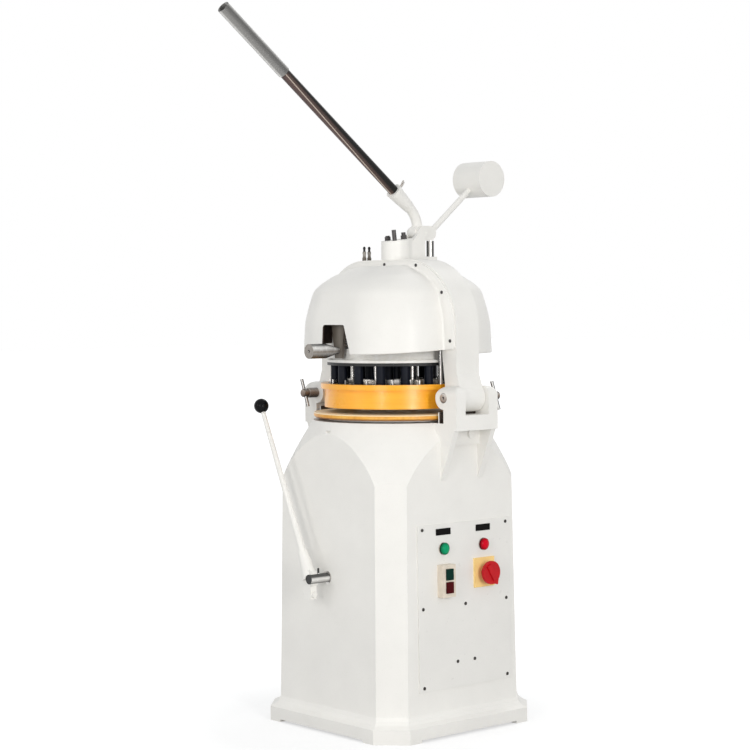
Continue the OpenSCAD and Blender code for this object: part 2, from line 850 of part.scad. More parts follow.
module switch_box() color([0.84, 0.83, 0.76])
  difference() {
    on_panel(start_y, box_z) face_block(panel_face, panel_face + box_d, box_w, box_h);
    for (s = [-1, 1])
      on_panel(start_y, box_z + s * button_pitch / 2)
        face_block(panel_face + box_floor, panel_face + box_d + overrun,
                   button_w + 2 * clear, button_h + 2 * clear);
  }

module push_button(s) {
  on_panel(start_y, box_z + s * button_pitch / 2)
    face_block(panel_face + box_floor + button_stroke + clear, panel_face + box_d + button_rise,
               button_w, button_h);
}

module start_button() color([0.03, 0.2, 0.16]) push_button(1);
module stop_button() color([0.32, 0.03, 0.06]) push_button(-1);

module main_switch_plate() color([0.98, 0.78, 0.45])
  on_panel(main_y, switch_z) difference() {
    face_block(panel_face, panel_face + switch_t, switch_w, switch_h);
    bar_x(knob_shaft_r + run_fit, panel_face - overrun, panel_face + switch_t + overrun);
  }

module main_switch_knob() color([0.75, 0.08, 0.1])
  on_panel(main_y, switch_z) {
    bar_x(knob_shaft_r, 0, knob_face + knob_t / 2);
    bar_x(knob_neck_r, switch_face, knob_face + knob_t / 2);
    bar_x(knob_r, knob_face, knob_face + knob_t);
    rotate([grip_bar_turn, 0, 0]) {
      face_block(knob_face + clear, knob_face + knob_t + grip_bar_t, grip_bar_w, grip_bar_l);
    }
    rotate([knob_point + 45, 0, 0]) translate([knob_face, 0, -knob_corner])
      cube([knob_t, knob_corner, knob_corner]);
  }

module terminal_block() color(dark)
  difference() {
    on_panel(panel_y, block_z) face_block(-block_d, 0, block_w, block_h);
    screw_cores();
  }

module motor() color([0.3, 0.34, 0.4])
  translate([0, motor_y, 0]) difference() {
    union() {
      translate([0, 0, bracket_z - motor_rim]) cylinder(h = motor_rim, r = motor_r + motor_rim);
      translate([0, 0, bracket_z - motor_rim - motor_len])
        cylinder(h = motor_len + motor_rim / 2, r = motor_r);
    }
    translate([0, 0, bracket_z - 3 * motor_rim]) cylinder(h = 4 * motor_rim, r = motor_shaft_r + run_fit);
  }

module motor_bracket() color(steel)
  difference() {
    translate([-bracket_w / 2, motor_y - bracket_d / 2, bracket_z])
      cube([bracket_w, bracket_d, cavity_top - bracket_z]);
    translate([-bracket_w / 2 + bracket_t, motor_y - bracket_d / 2 - overrun, bracket_z + bracket_t])
      cube([bracket_w - 2 * bracket_t, bracket_d + 2 * overrun, cavity_top]);
    translate([0, motor_y, bracket_z - overrun])
      cylinder(h = bracket_t + 2 * overrun, r = motor_shaft_r + motor_rim);
  }

// Belt pulley with a low rim on each side
module pulley(r) {
  rim = (pulley_t - belt_w) / 2 - clear;
  translate([0, 0, pulley_z - pulley_t / 2]) {
    cylinder(h = pulley_t, r = r);
    cylinder(h = rim, r = r + belt_t / 2);
    translate([0, 0, pulley_t - rim]) cylinder(h = rim, r = r + belt_t / 2);
  }
}

module motor_pulley() color(steel)
  translate([0, motor_y, 0]) {
    pulley(drive_r);
    translate([0, 0, bracket_z - 2 * motor_rim])
      cylinder(h = pulley_z - bracket_z + 2 * motor_rim, r = motor_shaft_r);
  }

// Outline round both pulleys, outside their running faces by a step
module belt_loop(step) {
  hull() {
    circle(r = driven_r + step);
    translate([0, motor_y]) circle(r = drive_r + step);
  }
}

module drive_belt() color(dark)
  translate([0, 0, pulley_z - belt_w / 2]) linear_extrude(belt_w) difference() {
    belt_loop(belt_t + clear);
    belt_loop(clear);
  }

module driven_pulley() color(steel)
  difference() {
    pulley(driven_r);
    cylinder(h = deck_z, r = spindle_r);
  }

module eccentric_spindle() color(steel) {
  translate([0, 0, pulley_z - pulley_t / 2])
    cylinder(h = crank_z - pulley_z + pulley_t / 2, r = spindle_r);
  translate([0, 0, crank_z]) cylinder(h = crank_disc_t, r = crank_disc_r);
  translate([orbit, 0, crank_top]) cylinder(h = table_z - crank_top - table_gap / 2, r = crank_r);
}

module bearing_housing() color([0.5, 0.52, 0.55])
  difference() {
    union() {
      translate([0, 0, cavity_top - housing_flange_t])
        cylinder(h = housing_flange_t, r = housing_flange_r);
      translate([0, 0, cavity_top - housing_len]) cylinder(h = housing_len, r = housing_r);
    }
    cylinder(h = deck_z, r = spindle_r + run_fit);
  }

module rounding_table() color(steel)
  translate([orbit, 0, 0]) difference() {
    union() {
      translate([0, 0, table_z]) cylinder(h = table_t, r = table_r);
      translate([0, 0, crank_top + table_gap / 2]) cylinder(h = table_z - crank_top, r = table_hub_r);
    }
    cylinder(h = table_z, r = crank_r + run_fit);
  }

module dough_plate() color([0.8, 0.56, 0.26])
  translate([orbit, 0, plate_z]) rotate_extrude()
    polygon([[0, 0], [plate_r - plate_bevel, 0], [plate_r, plate_bevel],
             [plate_r, plate_t - plate_bevel / 2], [plate_r - plate_bevel / 2, plate_t], [0, plate_t]]);

module rounding_bush() color(steel)
  translate([0, 0, round_z]) difference() {
    union() {
      bar_y(bush_r, -bush_front, -round_rear);
      bar_y(bush_collar_r, -bush_front, -bush_seat);
    }
    bar_y(round_shaft_r + run_fit, -bush_front - overrun, 0);
  }

module rounding_shaft() color(steel)
  translate([0, 0, round_z]) {
    bar_y(round_shaft_r, -round_front, -round_rear + bush_r / 2);
    bar_y(bush_r, -round_rear + clear, -round_rear + bush_r / 2);
    translate([0, hub_mid_y + round_hub_w / 2 + stop_pin_gap, 0]) cylinder(h = stop_pin_h, r = stop_pin_r);
  }

// Tapered arm of the rounding lever, leaning to the left
module round_arm() {
  translate([-round_hub_off, hub_mid_y, round_z]) rotate([0, -round_lean, 0])
    translate([0, 0, round_socket_len / 2])
      cylinder(h = round_len - round_socket_len / 2, r1 = round_arm_r, r2 = round_tip_r);
}

// Places children on the axis of the lug bolt
module on_lug_bolt() {
  translate([-round_hub_off, hub_mid_y, round_z - round_lug_drop + 1.5 * lug_bolt_head_r]) children();
}

module lug_bolt_core(grow) {
  on_lug_bolt() bar_x(lug_bolt_r, -round_lug_w / 2 - grow, round_lug_w / 2 + grow);
}

module rounding_hub() color(white)
  difference() {
    union() {
      translate([-round_hub_off, -round_front + round_hub_inset, round_z]) {
        bar_y(round_hub_r, 0, round_hub_w);
        translate([-round_lug_w / 2, 0, -round_lug_drop]) cube([round_lug_w, round_hub_w, round_lug_drop]);
        translate([0, round_hub_w / 2, 0]) rotate([0, -round_lean, 0])
          cylinder(h = round_socket_len, r1 = round_socket_r, r2 = round_mouth_r);
      }
    }
    translate([0, 0, round_z]) bar_y(round_shaft_r, -base_w, 0);
    translate([round_hub_open, -base_w, 0]) cube([round_hub_r, base_w, deck_z]);
    lug_bolt_core(overrun);
    round_arm();
  }

module hub_clamp_bolt() color(steel) {
  lug_bolt_core(0);
  on_lug_bolt() {
    translate([round_lug_w / 2, 0, 0]) rotate([0, 90, 0])
      cylinder(h = lug_bolt_head_h, r = lug_bolt_head_r, $fn = 6);
    translate([-round_lug_w / 2, 0, 0]) rotate([0, -90, 0]) {
      cylinder(h = lug_bolt_head_h, r = lug_bolt_head_r, $fn = 6);
      cylinder(h = 2 * lug_bolt_head_h, r = lug_bolt_r);
    }
  }
}

module rounding_arm() color(white) round_arm();

module rounding_ball() color(dark)
  difference() {
    translate([-round_hub_off, hub_mid_y, round_z]) rotate([0, -round_lean, 0])
      translate([0, 0, round_len]) sphere(r = round_ball_r);
    round_arm();
  }

// One saddle on the panel side, before it is fitted to the body
module saddle_raw() {
  intersection() {
    slab_y(saddle_y0, saddle_y1) {
      translate([pin_x, pin_z]) circle(r = lobe_r);
      translate([pin_x, saddle_z]) square([saddle_out - pin_x, saddle_top - saddle_round - saddle_z]);
      translate([pin_x, saddle_z]) square([saddle_out - pin_x - saddle_round, saddle_top - saddle_z]);
      translate([saddle_out - saddle_round, saddle_top - saddle_round]) circle(r = saddle_round);
    }
    slab_x(0, saddle_out + overrun) {
      translate([saddle_y0, saddle_z]) square([saddle_len, seat_z - saddle_z]);
      for (s = [-1, 1])
        translate([head_y, 0]) mirror([s < 0 ? 1 : 0, 0]) {
          translate([saddle_len / 2 - cheek_t, saddle_z])
            square([cheek_t, saddle_top - saddle_round - saddle_z]);
          translate([saddle_len / 2 - cheek_t, saddle_z])
            square([cheek_t - saddle_round, saddle_top - saddle_z]);
          intersection() {
            translate([saddle_len / 2 - saddle_round, saddle_top - saddle_round]) circle(r = saddle_round);
            translate([saddle_len / 2 - cheek_t, saddle_z]) square([cheek_t, saddle_top - saddle_z]);
          }
        }
    }
  }
  translate([shelf_in, saddle_y0, saddle_z]) cube([saddle_out - shelf_in, saddle_len, deck_z - saddle_z]);
  translate([lip_in, saddle_y0, saddle_z]) cube([lip_t, saddle_len, lip_z - saddle_z]);
  for (y = [saddle_y0, saddle_y1 - rib_t])
    slab_y(y, y + rib_t)
      polygon([[shelf_in, rib_z], [col_half(rib_z) + clear, rib_z], [saddle_out - rib_t / 2, saddle_z],
               [shelf_in, saddle_z]]);
  translate([shelf_in, saddle_y0, web_z]) cube([web_out - shelf_in, saddle_len, saddle_z - web_z]);
}

module saddle_bores() {
  translate([pin_x, 0, pin_z]) bar_y(pin_r + run_fit, saddle_y0 - overrun, saddle_y1 + overrun);
  saddle_bolt_cores();
}

module saddle_right() color(white)
  difference() {
    saddle_raw();
    body_outer();
    saddle_bores();
  }

module saddle_left() color(white)
  difference() {
    other_side() saddle_raw();
    body_outer();
    other_side() saddle_bores();
  }

module saddle_bolt_pair() {
  saddle_bolt_cores();
  for (y = saddle_bolt_places)
    translate([0, y, saddle_bolt_z]) bar_x(saddle_bolt_head_r, web_out, web_out + saddle_bolt_head_h);
}

module saddle_bolts() color(white) {
  saddle_bolt_pair();
  other_side() saddle_bolt_pair();
}

// Cross bar of a pin screw
module tommy(turn) {
  translate([pin_x, saddle_y1 + pin_tail + pin_head_len / 2, pin_z]) rotate([0, turn, 0])
    cylinder(h = tommy_len, r = tommy_r, center = true);
}

module pin_screw(turn) {
  difference() {
    translate([pin_x, 0, pin_z]) {
      bar_y(pin_r, saddle_y0 - clear, saddle_y1 + pin_tail);
      bar_y(pin_head_r, saddle_y1 + pin_tail, saddle_y1 + pin_tail + pin_head_len);
    }
    tommy(turn);
  }
}

module pin_screw_right() color(steel) pin_screw(-tommy_turn);
module pin_screw_left() color(steel) other_side() pin_screw(tommy_turn);
module tommy_bar_right() color(steel) tommy(-tommy_turn);
module tommy_bar_left() color(steel) other_side() tommy(tommy_turn);

// Arch outline of the yoke, drawn inwards by a step and cut off at its foot
module arch(inset, low) {
  r = yoke_round - inset;
  intersection() {
    union() {
      for (s = [-1, 1]) translate([s * yoke_cx, yoke_cz]) circle(r = r);
      translate([-yoke_cx, yoke_cz]) square([2 * yoke_cx, r]);
      translate([-yoke_cx - r, low]) square([2 * (yoke_cx + r), yoke_cz - low]);
    }
    translate([-yoke_half, low]) square([2 * yoke_half, yoke_top - low]);
  }
}

module yoke_leg() {
  translate([pin_x, pin_z]) circle(r = foot_r);
  polygon([[pin_x - foot_r, pin_z], [pin_x + foot_r, pin_z], [yoke_half, leg_low_z + foot_r],
           [yoke_half, leg_full_z], [yoke_in, leg_full_z], [leg_in_low, leg_low_z]]);
}

// Tie rods of the ring, grown for the guides in the yoke
module tie_cores(grow) {
  for (sx = [-1, 1]) for (sy = [-1, 1])
    translate([sx * tie_x, head_y + sy * tie_pitch / 2, ring_top])
      cylinder(h = yoke_cz + yoke_round / 2 - ring_top + grow, r = tie_r + grow);
}

module yoke() color(white)
  difference() {
    slab_y(yoke_y0, yoke_y1) {
      difference() {
        arch(0, leg_full_z);
        arch(yoke_arch, leg_full_z - overrun);
      }
      yoke_leg();
      mirror([1, 0]) yoke_leg();
    }
    for (s = [-1, 1])
      translate([s * pin_x, 0, pin_z]) bar_y(pin_r + run_fit, yoke_y0 - overrun, yoke_y1 + overrun);
    translate([0, 0, yoke_top - yoke_arch - overrun])
      cylinder(h = yoke_arch + 2 * overrun, r = ram_r + run_fit);
    tie_cores(run_fit);
    flange_screw_cores();
    rear_side() flange_screw_cores();
  }

// Mirrors children from the front of the yoke to its rear
module rear_side() {
  translate([0, head_y, 0]) mirror([0, 1, 0]) translate([0, -head_y, 0]) children();
}

flange_screw_places = concat(
  [[0, yoke_top - top_screw_in]],
  [[yoke_cx + (yoke_round - top_screw_in) * cos(top_screw_turn),
    yoke_cz + (yoke_round - top_screw_in) * sin(top_screw_turn)]],
  [for (s = [-1, 1]) [s * (yoke_cx + (yoke_round - side_screw_in) * cos(side_screw_turn)),
                      yoke_cz + (yoke_round - side_screw_in) * sin(side_screw_turn)]],
  [for (s = [-1, 1]) [s * (yoke_half - side_screw_in), low_screw_z]]);

module flange_screw_cores() {
  for (p = flange_screw_places)
    translate([p[0], 0, p[1]]) bar_y(screw_r, yoke_y0 - flange_t, yoke_y0 + screw_len);
}

module flange_screws() {
  flange_screw_cores();
  for (p = flange_screw_places)
    translate([p[0], 0, p[1]]) bar_y(flange_screw_r, yoke_y0 - flange_t - screw_head_h, yoke_y0 - flange_t);
}

module cover_screws() color(dark) {
  flange_screws();
  rear_side() flange_screws();
}

// Solid dome in front of the yoke, shrunk by a wall, dropped at its foot and run past the yoke face
module dome(inset, drop, skirt) {
  slice = clear;
  hull()
    for (i = [0:len(dome_rise_shares) - 1]) {
      half = dome_half - inset - dome_inset * dome_inset_shares[i];
      depth = dome_depth - inset - dome_inset * dome_inset_shares[i];
      round_r = min(half * dome_corner_share, depth);
      z = rim_z + dome_h * dome_rise_shares[i] - (i == 0 ? drop + skirt : inset);
      translate([0, yoke_y0, z]) {
        translate([-half, -slice, 0]) cube([2 * half, slice + drop, slice]);
        for (s = [-1, 1])
          translate([s * (half - round_r), round_r - depth, 0]) cylinder(h = slice, r = round_r, $fn = 64);
      }
    }
}

module dome_section(inset) {
  n = len(dome_rise_shares) - 1;
  side = [for (i = [0:n]) [dome_half - inset - dome_inset * dome_inset_shares[i],
                           rim_z + dome_h * dome_rise_shares[i] - (i == 0 ? overrun : inset)]];
  other = [for (i = [n:-1:0]) [-side[i][0], side[i][1]]];
  polygon(concat(side, other));
}

module cover_shell(skirt) {
  difference() {
    dome(0, 0, skirt);
    dome(cover_t, overrun, skirt);
    translate([-base_w / 2, yoke_y0, 0]) cube([base_w, base_w, yoke_top]);
  }
  slab_y(yoke_y0 - flange_t, yoke_y0) difference() {
    arch(flange_reveal, rim_z);
    dome_section(cover_t / 2);
  }
}

module front_cover() color(white)
  difference() {
    cover_shell(0);
    flange_screw_cores();
    slab_y(yoke_y0 - 2 * dome_depth, yoke_y0 - dome_depth / 2)
      polygon([[notch_x - notch_w / 2, rim_z - overrun],
               [notch_x + notch_w / 2 + notch_h * tan(notch_lean), rim_z - overrun],
               [notch_x + notch_w / 2, rim_z + notch_h], [notch_x - notch_w / 2, rim_z + notch_h]]);
  }

module rear_cover() color(white)
  rear_side() difference() {
    cover_shell(rear_skirt);
    flange_screw_cores();
  }

fork_out = fork_gap / 2 + fork_t;
boss_hole_top = crown_top - crown_cap;

// Middle of the hollow beside the crown boss
hollow_x = fork_out + crown_fillet;
hollow_y = sqrt(pow(crown_r + crown_fillet, 2) - pow(hollow_x, 2));

// Corner between the crown boss and a cheek, filled up to a hollow
module crown_hollow()
  difference() {
    polygon([[0, 0], [hollow_x, hollow_y] * crown_r / (crown_r + crown_fillet), [hollow_x, hollow_y],
             [fork_out, hollow_y], [0, hollow_y]]);
    translate([hollow_x, hollow_y]) circle(r = crown_fillet);
  }

// Places children on the tilted crown top, above the press axis
module on_crown() {
  translate([0, 0, crown_top]) rotate([crown_tilt, 0, 0]) children();
}

// Boss of the crown with its hollows, cut off by the tilted top
module crown_boss()
  difference() {
    translate([0, 0, yoke_top]) {
      cylinder(h = crown_h + crown_cap, r = crown_r);
      linear_extrude(crown_h + crown_cap) {
        crown_hollow();
        mirror([1, 0]) crown_hollow();
      }
    }
    on_crown() translate([-2 * crown_r, -2 * crown_r, 0])
      cube([4 * crown_r, 4 * crown_r, 2 * crown_cap]);
  }

module crown_block() color(white)
  difference() {
    union() {
      crown_boss();
      translate([-stop_r - crown_bevel, 0, yoke_top])
        cube([2 * (stop_r + crown_bevel), crown_shelf_end, crown_shelf_t]);
      for (s = [-1, 1])
        translate([s * (fork_gap + fork_t) / 2 - fork_t / 2, 0, 0]) slab_x(0, fork_t) {
          translate([pivot_y, pivot_z]) circle(r = fork_r);
          translate([pivot_y - fork_r, yoke_top]) square([fork_r + fork_back, pivot_z - yoke_top]);
          translate([0, yoke_top]) square([pivot_y, crown_h - crown_bevel]);
          polygon([[crown_r - crown_bevel, crown_top - 2 * crown_bevel],
                   [pivot_y, crown_top - 2 * crown_bevel], [pivot_y, pivot_z],
                   [pivot_y - fork_r, pivot_z]]);
        }
    }
    translate([0, pivot_y, pivot_z]) bar_x(pivot_r, -fork_out - overrun, fork_out + overrun);
    translate([0, 0, yoke_top - overrun])
      cylinder(h = boss_hole_top - yoke_top + overrun, r = ram_r + clear);
  }

// Places children on the crown fastener with this number
module on_stud(i) {
  on_crown() rotate([0, 0, crown_stud_turn + i * 120]) translate([crown_stud_dist, 0, 0]) children();
}

module crown_fasteners() color(dark) {
  for (i = [0, 1])
    on_stud(i) {
      cylinder(h = crown_nut_h, r = crown_nut_r, $fn = 6);
      cylinder(h = crown_nut_h + [stud_end_h, stud_end_low][i], r = crown_stud_r);
    }
  on_stud(2) cylinder(h = crown_stud_h, r = crown_stud_r);
}

module fulcrum_pin() color(steel)
  translate([0, pivot_y, pivot_z]) bar_x(pivot_r, -fork_out + clear, fork_out - clear);

module stop_post() color(steel)
  translate([0, stop_y, yoke_top + crown_shelf_t])
    cylinder(h = pivot_z - tail_r - stop_gap - yoke_top - crown_shelf_t, r = stop_r);

module oilers() color(steel)
  for (s = [-1, 1])
    translate([oiler_x, -2 * oiler_r + s * 1.4 * oiler_r, yoke_top])
      cylinder(h = oiler_h, r1 = oiler_r, r2 = oiler_r / 4);

module cutting_ring() color([0.99, 0.67, 0.2])
  rotate_extrude()
    polygon([[ring_in, ring_z], [ring_out, ring_z], [ring_out, ring_top - ring_flange_t],
             [ring_flange_r, ring_top - ring_flange_t], [ring_flange_r, ring_top], [ring_in, ring_top]]);

module ring_tie_rods() color(steel) tie_cores(0);

module ram_shaft() color(steel)
  translate([0, 0, boss_top]) cylinder(h = boss_hole_top - crown_bevel - boss_top, r = ram_r);

module rod_places() {
  for (i = [0:knife_rods - 1])
    rotate([0, 0, (i + 0.5) * 360 / knife_rods]) translate([cut_r2, 0, 0]) children();
}

module press_plate() color([0.62, 0.62, 0.6])
  difference() {
    union() {
      translate([0, 0, press_z]) cylinder(h = press_t, r = press_r);
      translate([0, 0, press_top]) cylinder(h = press_boss_h, r = press_boss_r);
    }
    rod_places() translate([0, 0, press_z - overrun])
      cylinder(h = press_t + press_boss_h + 2 * overrun, r = knife_rod_r + clear);
  }

module column_circle(n, r) {
  for (i = [0:n - 1])
    rotate([0, 0, (i + 0.5) * 360 / n]) translate([r, 0, pad_top])
      cylinder(h = press_z - pad_top, r = column_r);
}

module press_columns() color(dark) {
  column_circle(outer_cuts, column_ring_r);
  column_circle(middle_cuts, middle_column_r);
  column_circle(inner_cuts, inner_column_r);
}

// Ring of pads with straight gaps between them
module pad_ring(n, r0, r1) {
  difference() {
    circle(r = r1 - pad_gap / 2);
    circle(r = r0 + pad_gap / 2);
    for (i = [0:n - 1])
      rotate([0, 0, i * 360 / n]) translate([0, -pad_gap / 2]) square([ring_out, pad_gap]);
  }
}

module press_pads() color(steel)
  translate([0, 0, pad_z]) linear_extrude(pad_t) {
    pad_ring(outer_cuts, cut_r2, ring_in);
    pad_ring(middle_cuts, cut_r1, cut_r2);
    pad_ring(inner_cuts, 0, cut_r1);
  }

module blades(n, r0, r1) {
  for (i = [0:n - 1])
    rotate([0, 0, i * 360 / n]) translate([r0, -knife_t / 2]) square([r1 - r0, knife_t]);
}

module blade_ring(r) {
  difference() {
    circle(r = r + knife_t / 2);
    circle(r = r - knife_t / 2);
  }
}

module knife_grid() color(steel) {
  translate([0, 0, knife_z]) linear_extrude(knife_h) {
    blades(outer_cuts, cut_r2, ring_in - pad_gap / 2);
    blades(middle_cuts, cut_r1, cut_r2);
    blades(inner_cuts, 0, cut_r1);
    blade_ring(cut_r1);
    blade_ring(cut_r2);
  }
  rod_places() translate([0, 0, knife_top - knife_h / 4])
    cylinder(h = knife_rod_len + knife_h / 4, r = knife_rod_r);
  translate([0, 0, knife_top + knife_rod_len - 2 * knife_rod_r])
    linear_extrude(2 * knife_rod_r) difference() {
      circle(r = cut_r2 + 3 * knife_rod_r);
      circle(r = cut_r2 - 3 * knife_rod_r);
    }
}

stem_turn = atan2(pivot_y - bend_y, bend_z - pivot_z);
stem_len = norm([pivot_y - bend_y, bend_z - pivot_z]);
elbow_turn = 90 - lever_rise - stem_turn;
elbow_in = elbow_r * tan(elbow_turn / 2);

// Places children on the press lever, local Z along its tube
module on_lever() {
  translate([0, bend_y, bend_z]) rotate([90 - lever_rise, 0, 0]) children();
}

// Places children on the lever stem, local Z from the pivot to the bend
module on_stem() {
  translate([0, pivot_y, pivot_z]) rotate([stem_turn, 0, 0]) children();
}

module on_weight() {
  translate([0, weight_y, pivot_z]) rotate([weight_rise - 90, 0, 0]) children();
}

// Shank of the lever clamp screw, grown for its hole
module wing_core(grow) {
  on_lever() translate([0, 0, socket_len - 4 * wing_r]) rotate([-90, 0, 0])
    translate([0, 0, tube_r]) cylinder(h = socket_mouth_r - tube_r + wing_h, r = wing_r + grow);
}

module lever_hub() color(white)
  difference() {
    union() {
      slab_x(-lever_hub_w / 2, lever_hub_w / 2) {
        translate([pivot_y, pivot_z]) circle(r = lever_hub_r);
        translate([tail_y, pivot_z]) circle(r = tail_r);
        translate([pivot_y, pivot_z - tail_r]) square([tail_y - pivot_y, 2 * tail_r]);
      }
      on_stem() {
        cylinder(h = stem_len - elbow_in, r = neck_r);
        translate([0, -elbow_r, stem_len - elbow_in]) rotate([90, 0, 90])
          rotate_extrude(angle = elbow_turn) translate([elbow_r, 0]) circle(r = neck_r);
      }
      on_lever() translate([0, 0, elbow_in - clear])
        cylinder(h = socket_len - elbow_in + clear, r1 = socket_r, r2 = socket_mouth_r);
    }
    translate([0, pivot_y, pivot_z]) bar_x(pivot_r + run_fit, -lever_hub_w, lever_hub_w);
    on_lever() translate([0, 0, socket_len - tube_depth]) cylinder(h = tube_depth + overrun, r = tube_r);
    on_weight() cylinder(h = weight_dist, r = weight_rod_r);
    wing_core(run_fit);
  }

module lever_tube() color(steel)
  on_lever() translate([0, 0, socket_len - tube_depth]) difference() {
    cylinder(h = grip_start - socket_len + 2 * tube_depth, r = tube_r);
    translate([0, 0, -overrun]) cylinder(h = grip_start + tube_depth, r = tube_r - tube_wall);
  }

module lever_grip() color([0.6, 0.61, 0.62])
  on_lever() translate([0, 0, grip_start]) difference() {
    cylinder(h = lever_grip_len, r = lever_grip_r);
    translate([0, 0, -overrun]) cylinder(h = lever_grip_len + 2 * overrun, r = tube_r);
  }

module counterweight_rod() color(white)
  on_weight() cylinder(h = weight_dist, r = weight_rod_r);

module counterweight() color(white)
  on_weight() difference() {
    translate([0, 0, weight_dist]) bar_x(weight_r, -weight_len / 2, weight_len / 2);
    cylinder(h = weight_dist, r = weight_rod_r);
  }

module lever_clamp_screw() color(steel) {
  wing_core(0);
  on_lever() translate([0, socket_mouth_r + wing_h / 2, socket_len - 4 * wing_r])
    rotate([0, wing_turn, 0]) translate([-wing_w / 2, 0, -wing_r / 2]) cube([wing_w, wing_h / 2, wing_r]);
}

module handle_pivot() color(steel) {
  translate([handle_x - 2 * handle_pivot_r, yoke_y0 - handle_t, handle_pivot_z - 2 * handle_pivot_r])
    cube([4 * handle_pivot_r, handle_t, yoke_top - yoke_arch / 2 - handle_pivot_z]);
  translate([handle_x, 0, handle_pivot_z])
    bar_y(handle_pivot_r, -handle_y - handle_t - clear, yoke_y0 - handle_t);
}

module knife_handle_arm() color(dark)
  difference() {
    slab_y(-handle_y - handle_t, -handle_y) translate([handle_x, 0]) {
      translate([0, handle_pivot_z]) circle(r = handle_top_w / 2);
      polygon([[-handle_top_w / 2, handle_pivot_z], [-handle_low_w / 2, handle_low_z],
               [handle_low_w / 2, handle_low_z], [handle_top_w / 2, handle_pivot_z]]);
    }
    translate([handle_x, 0, handle_pivot_z])
      bar_y(handle_pivot_r + run_fit, -handle_y - handle_t - overrun, -handle_y + overrun);
  }

module knife_handle_grip() color(steel)
  translate([handle_x, -handle_y - handle_t, handle_grip_z]) rotate([90, 0, 0]) difference() {
    union() {
      cylinder(h = handle_taper, r1 = handle_neck_r, r2 = handle_grip_r);
      translate([0, 0, handle_taper]) cylinder(h = handle_grip_len - handle_taper, r = handle_grip_r);
    }
    translate([0, 0, handle_grip_len - handle_neck_r]) cylinder(h = handle_grip_len, r = handle_neck_r / 2);
  }

placed() base_casting();
placed() electrical_panel();
placed() panel_screws();
placed() label_plates();
placed() lamp_bezels();
placed() green_lens();
placed() red_lens();
placed() switch_box();
placed() start_button();
placed() stop_button();
placed() main_switch_plate();
placed() main_switch_knob();
placed() terminal_block();
placed() motor();
placed() motor_bracket();
placed() motor_pulley();
placed() drive_belt();
placed() driven_pulley();
placed() eccentric_spindle();
placed() bearing_housing();
placed() rounding_table();
placed() dough_plate();
placed() rounding_bush();
placed() rounding_shaft();
placed() rounding_hub();
placed() hub_clamp_bolt();
placed() rounding_arm();
placed() rounding_ball();
placed() saddle_right();
placed() saddle_left();
placed() saddle_bolts();
placed() pin_screw_right();
placed() pin_screw_left();
placed() tommy_bar_right();
placed() tommy_bar_left();
placed() yoke();
placed() front_cover();
placed() rear_cover();
placed() cover_screws();
placed() crown_block();
placed() crown_fasteners();
placed() fulcrum_pin();
placed() stop_post();
placed() oilers();
placed() cutting_ring();
placed() ring_tie_rods();
placed() ram_shaft();
placed() press_plate();
placed() press_columns();
placed() press_pads();
placed() knife_grid();
placed() handle_pivot();
placed() lever_hub();
placed() lever_tube();
placed() lever_grip();
placed() counterweight_rod();
placed() counterweight();
placed() lever_clamp_screw();
placed() knife_handle_arm();
placed() knife_handle_grip();
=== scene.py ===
import math

import bmesh
import bpy
import numpy as np
from mathutils import Matrix, Vector


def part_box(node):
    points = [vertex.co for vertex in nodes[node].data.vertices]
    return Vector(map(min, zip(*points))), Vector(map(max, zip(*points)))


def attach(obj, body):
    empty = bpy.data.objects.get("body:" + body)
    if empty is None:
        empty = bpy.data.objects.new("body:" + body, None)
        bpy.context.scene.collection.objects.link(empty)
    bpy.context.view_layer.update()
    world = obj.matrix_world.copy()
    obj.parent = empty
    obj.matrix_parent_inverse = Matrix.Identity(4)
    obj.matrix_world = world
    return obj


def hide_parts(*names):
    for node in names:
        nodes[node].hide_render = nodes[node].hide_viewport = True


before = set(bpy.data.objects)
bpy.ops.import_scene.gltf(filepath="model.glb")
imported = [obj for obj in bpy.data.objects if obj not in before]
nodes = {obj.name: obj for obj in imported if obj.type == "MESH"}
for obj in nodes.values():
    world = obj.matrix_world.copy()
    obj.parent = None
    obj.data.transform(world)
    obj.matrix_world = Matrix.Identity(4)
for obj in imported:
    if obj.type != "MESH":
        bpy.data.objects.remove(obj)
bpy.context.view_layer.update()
scene = bpy.context.scene
scene.view_settings.view_transform = "Standard"

X, Y, Z = (1, 0, 0), (0, 1, 0), (0, 0, 1)
EVEN = (1, 1, 1)

# The press axis stands upright through the ram
ram_lo, ram_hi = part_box("ram_shaft")
AXIS = Vector((0, (ram_lo[1] + ram_hi[1]) / 2, 0))

# ---------------------------------------------------------------- camera
AZ, PITCH, ROLL = math.radians(48.90), math.radians(-2.19), -0.0085
FOCAL_PX, PICTURE_PX, SENSOR = 1963, 750, 36
DISTANCE, EYE_Z, SIDE, CLIP_END = 5.897, 1.261, -0.0650, 100

level_fwd = Vector((-math.sin(AZ), math.cos(AZ), 0))
level_right = Vector((math.cos(AZ), math.sin(AZ), 0))
up = Vector(Z)
eye = AXIS - DISTANCE * level_fwd + EYE_Z * up + SIDE * level_right
fwd = math.cos(PITCH) * level_fwd + math.sin(PITCH) * up
pitched_up = -math.sin(PITCH) * level_fwd + math.cos(PITCH) * up
right = math.cos(ROLL) * level_right + math.sin(ROLL) * pitched_up
cam = bpy.data.objects.new("camera", bpy.data.cameras.new("camera"))
cam.data.sensor_width = SENSOR
cam.data.lens = FOCAL_PX / PICTURE_PX * SENSOR
cam.data.clip_end = CLIP_END
basis = Matrix((right, right.cross(fwd), -fwd)).transposed().to_4x4()
cam.matrix_world = Matrix.Translation(eye) @ basis
scene.collection.objects.link(cam)
scene.camera = cam

# ---------------------------------------------------------------- materials
OFF, ON = (0, 0, 0), (1, 1, 1)
# Sockets of a colour Mix node
MIX_FAC, MIX_A, MIX_B, MIX_OUT = 0, 6, 7, 2
# Most of a noise texture lies between these
NOISE_LOW, NOISE_HIGH = 0.3, 0.7
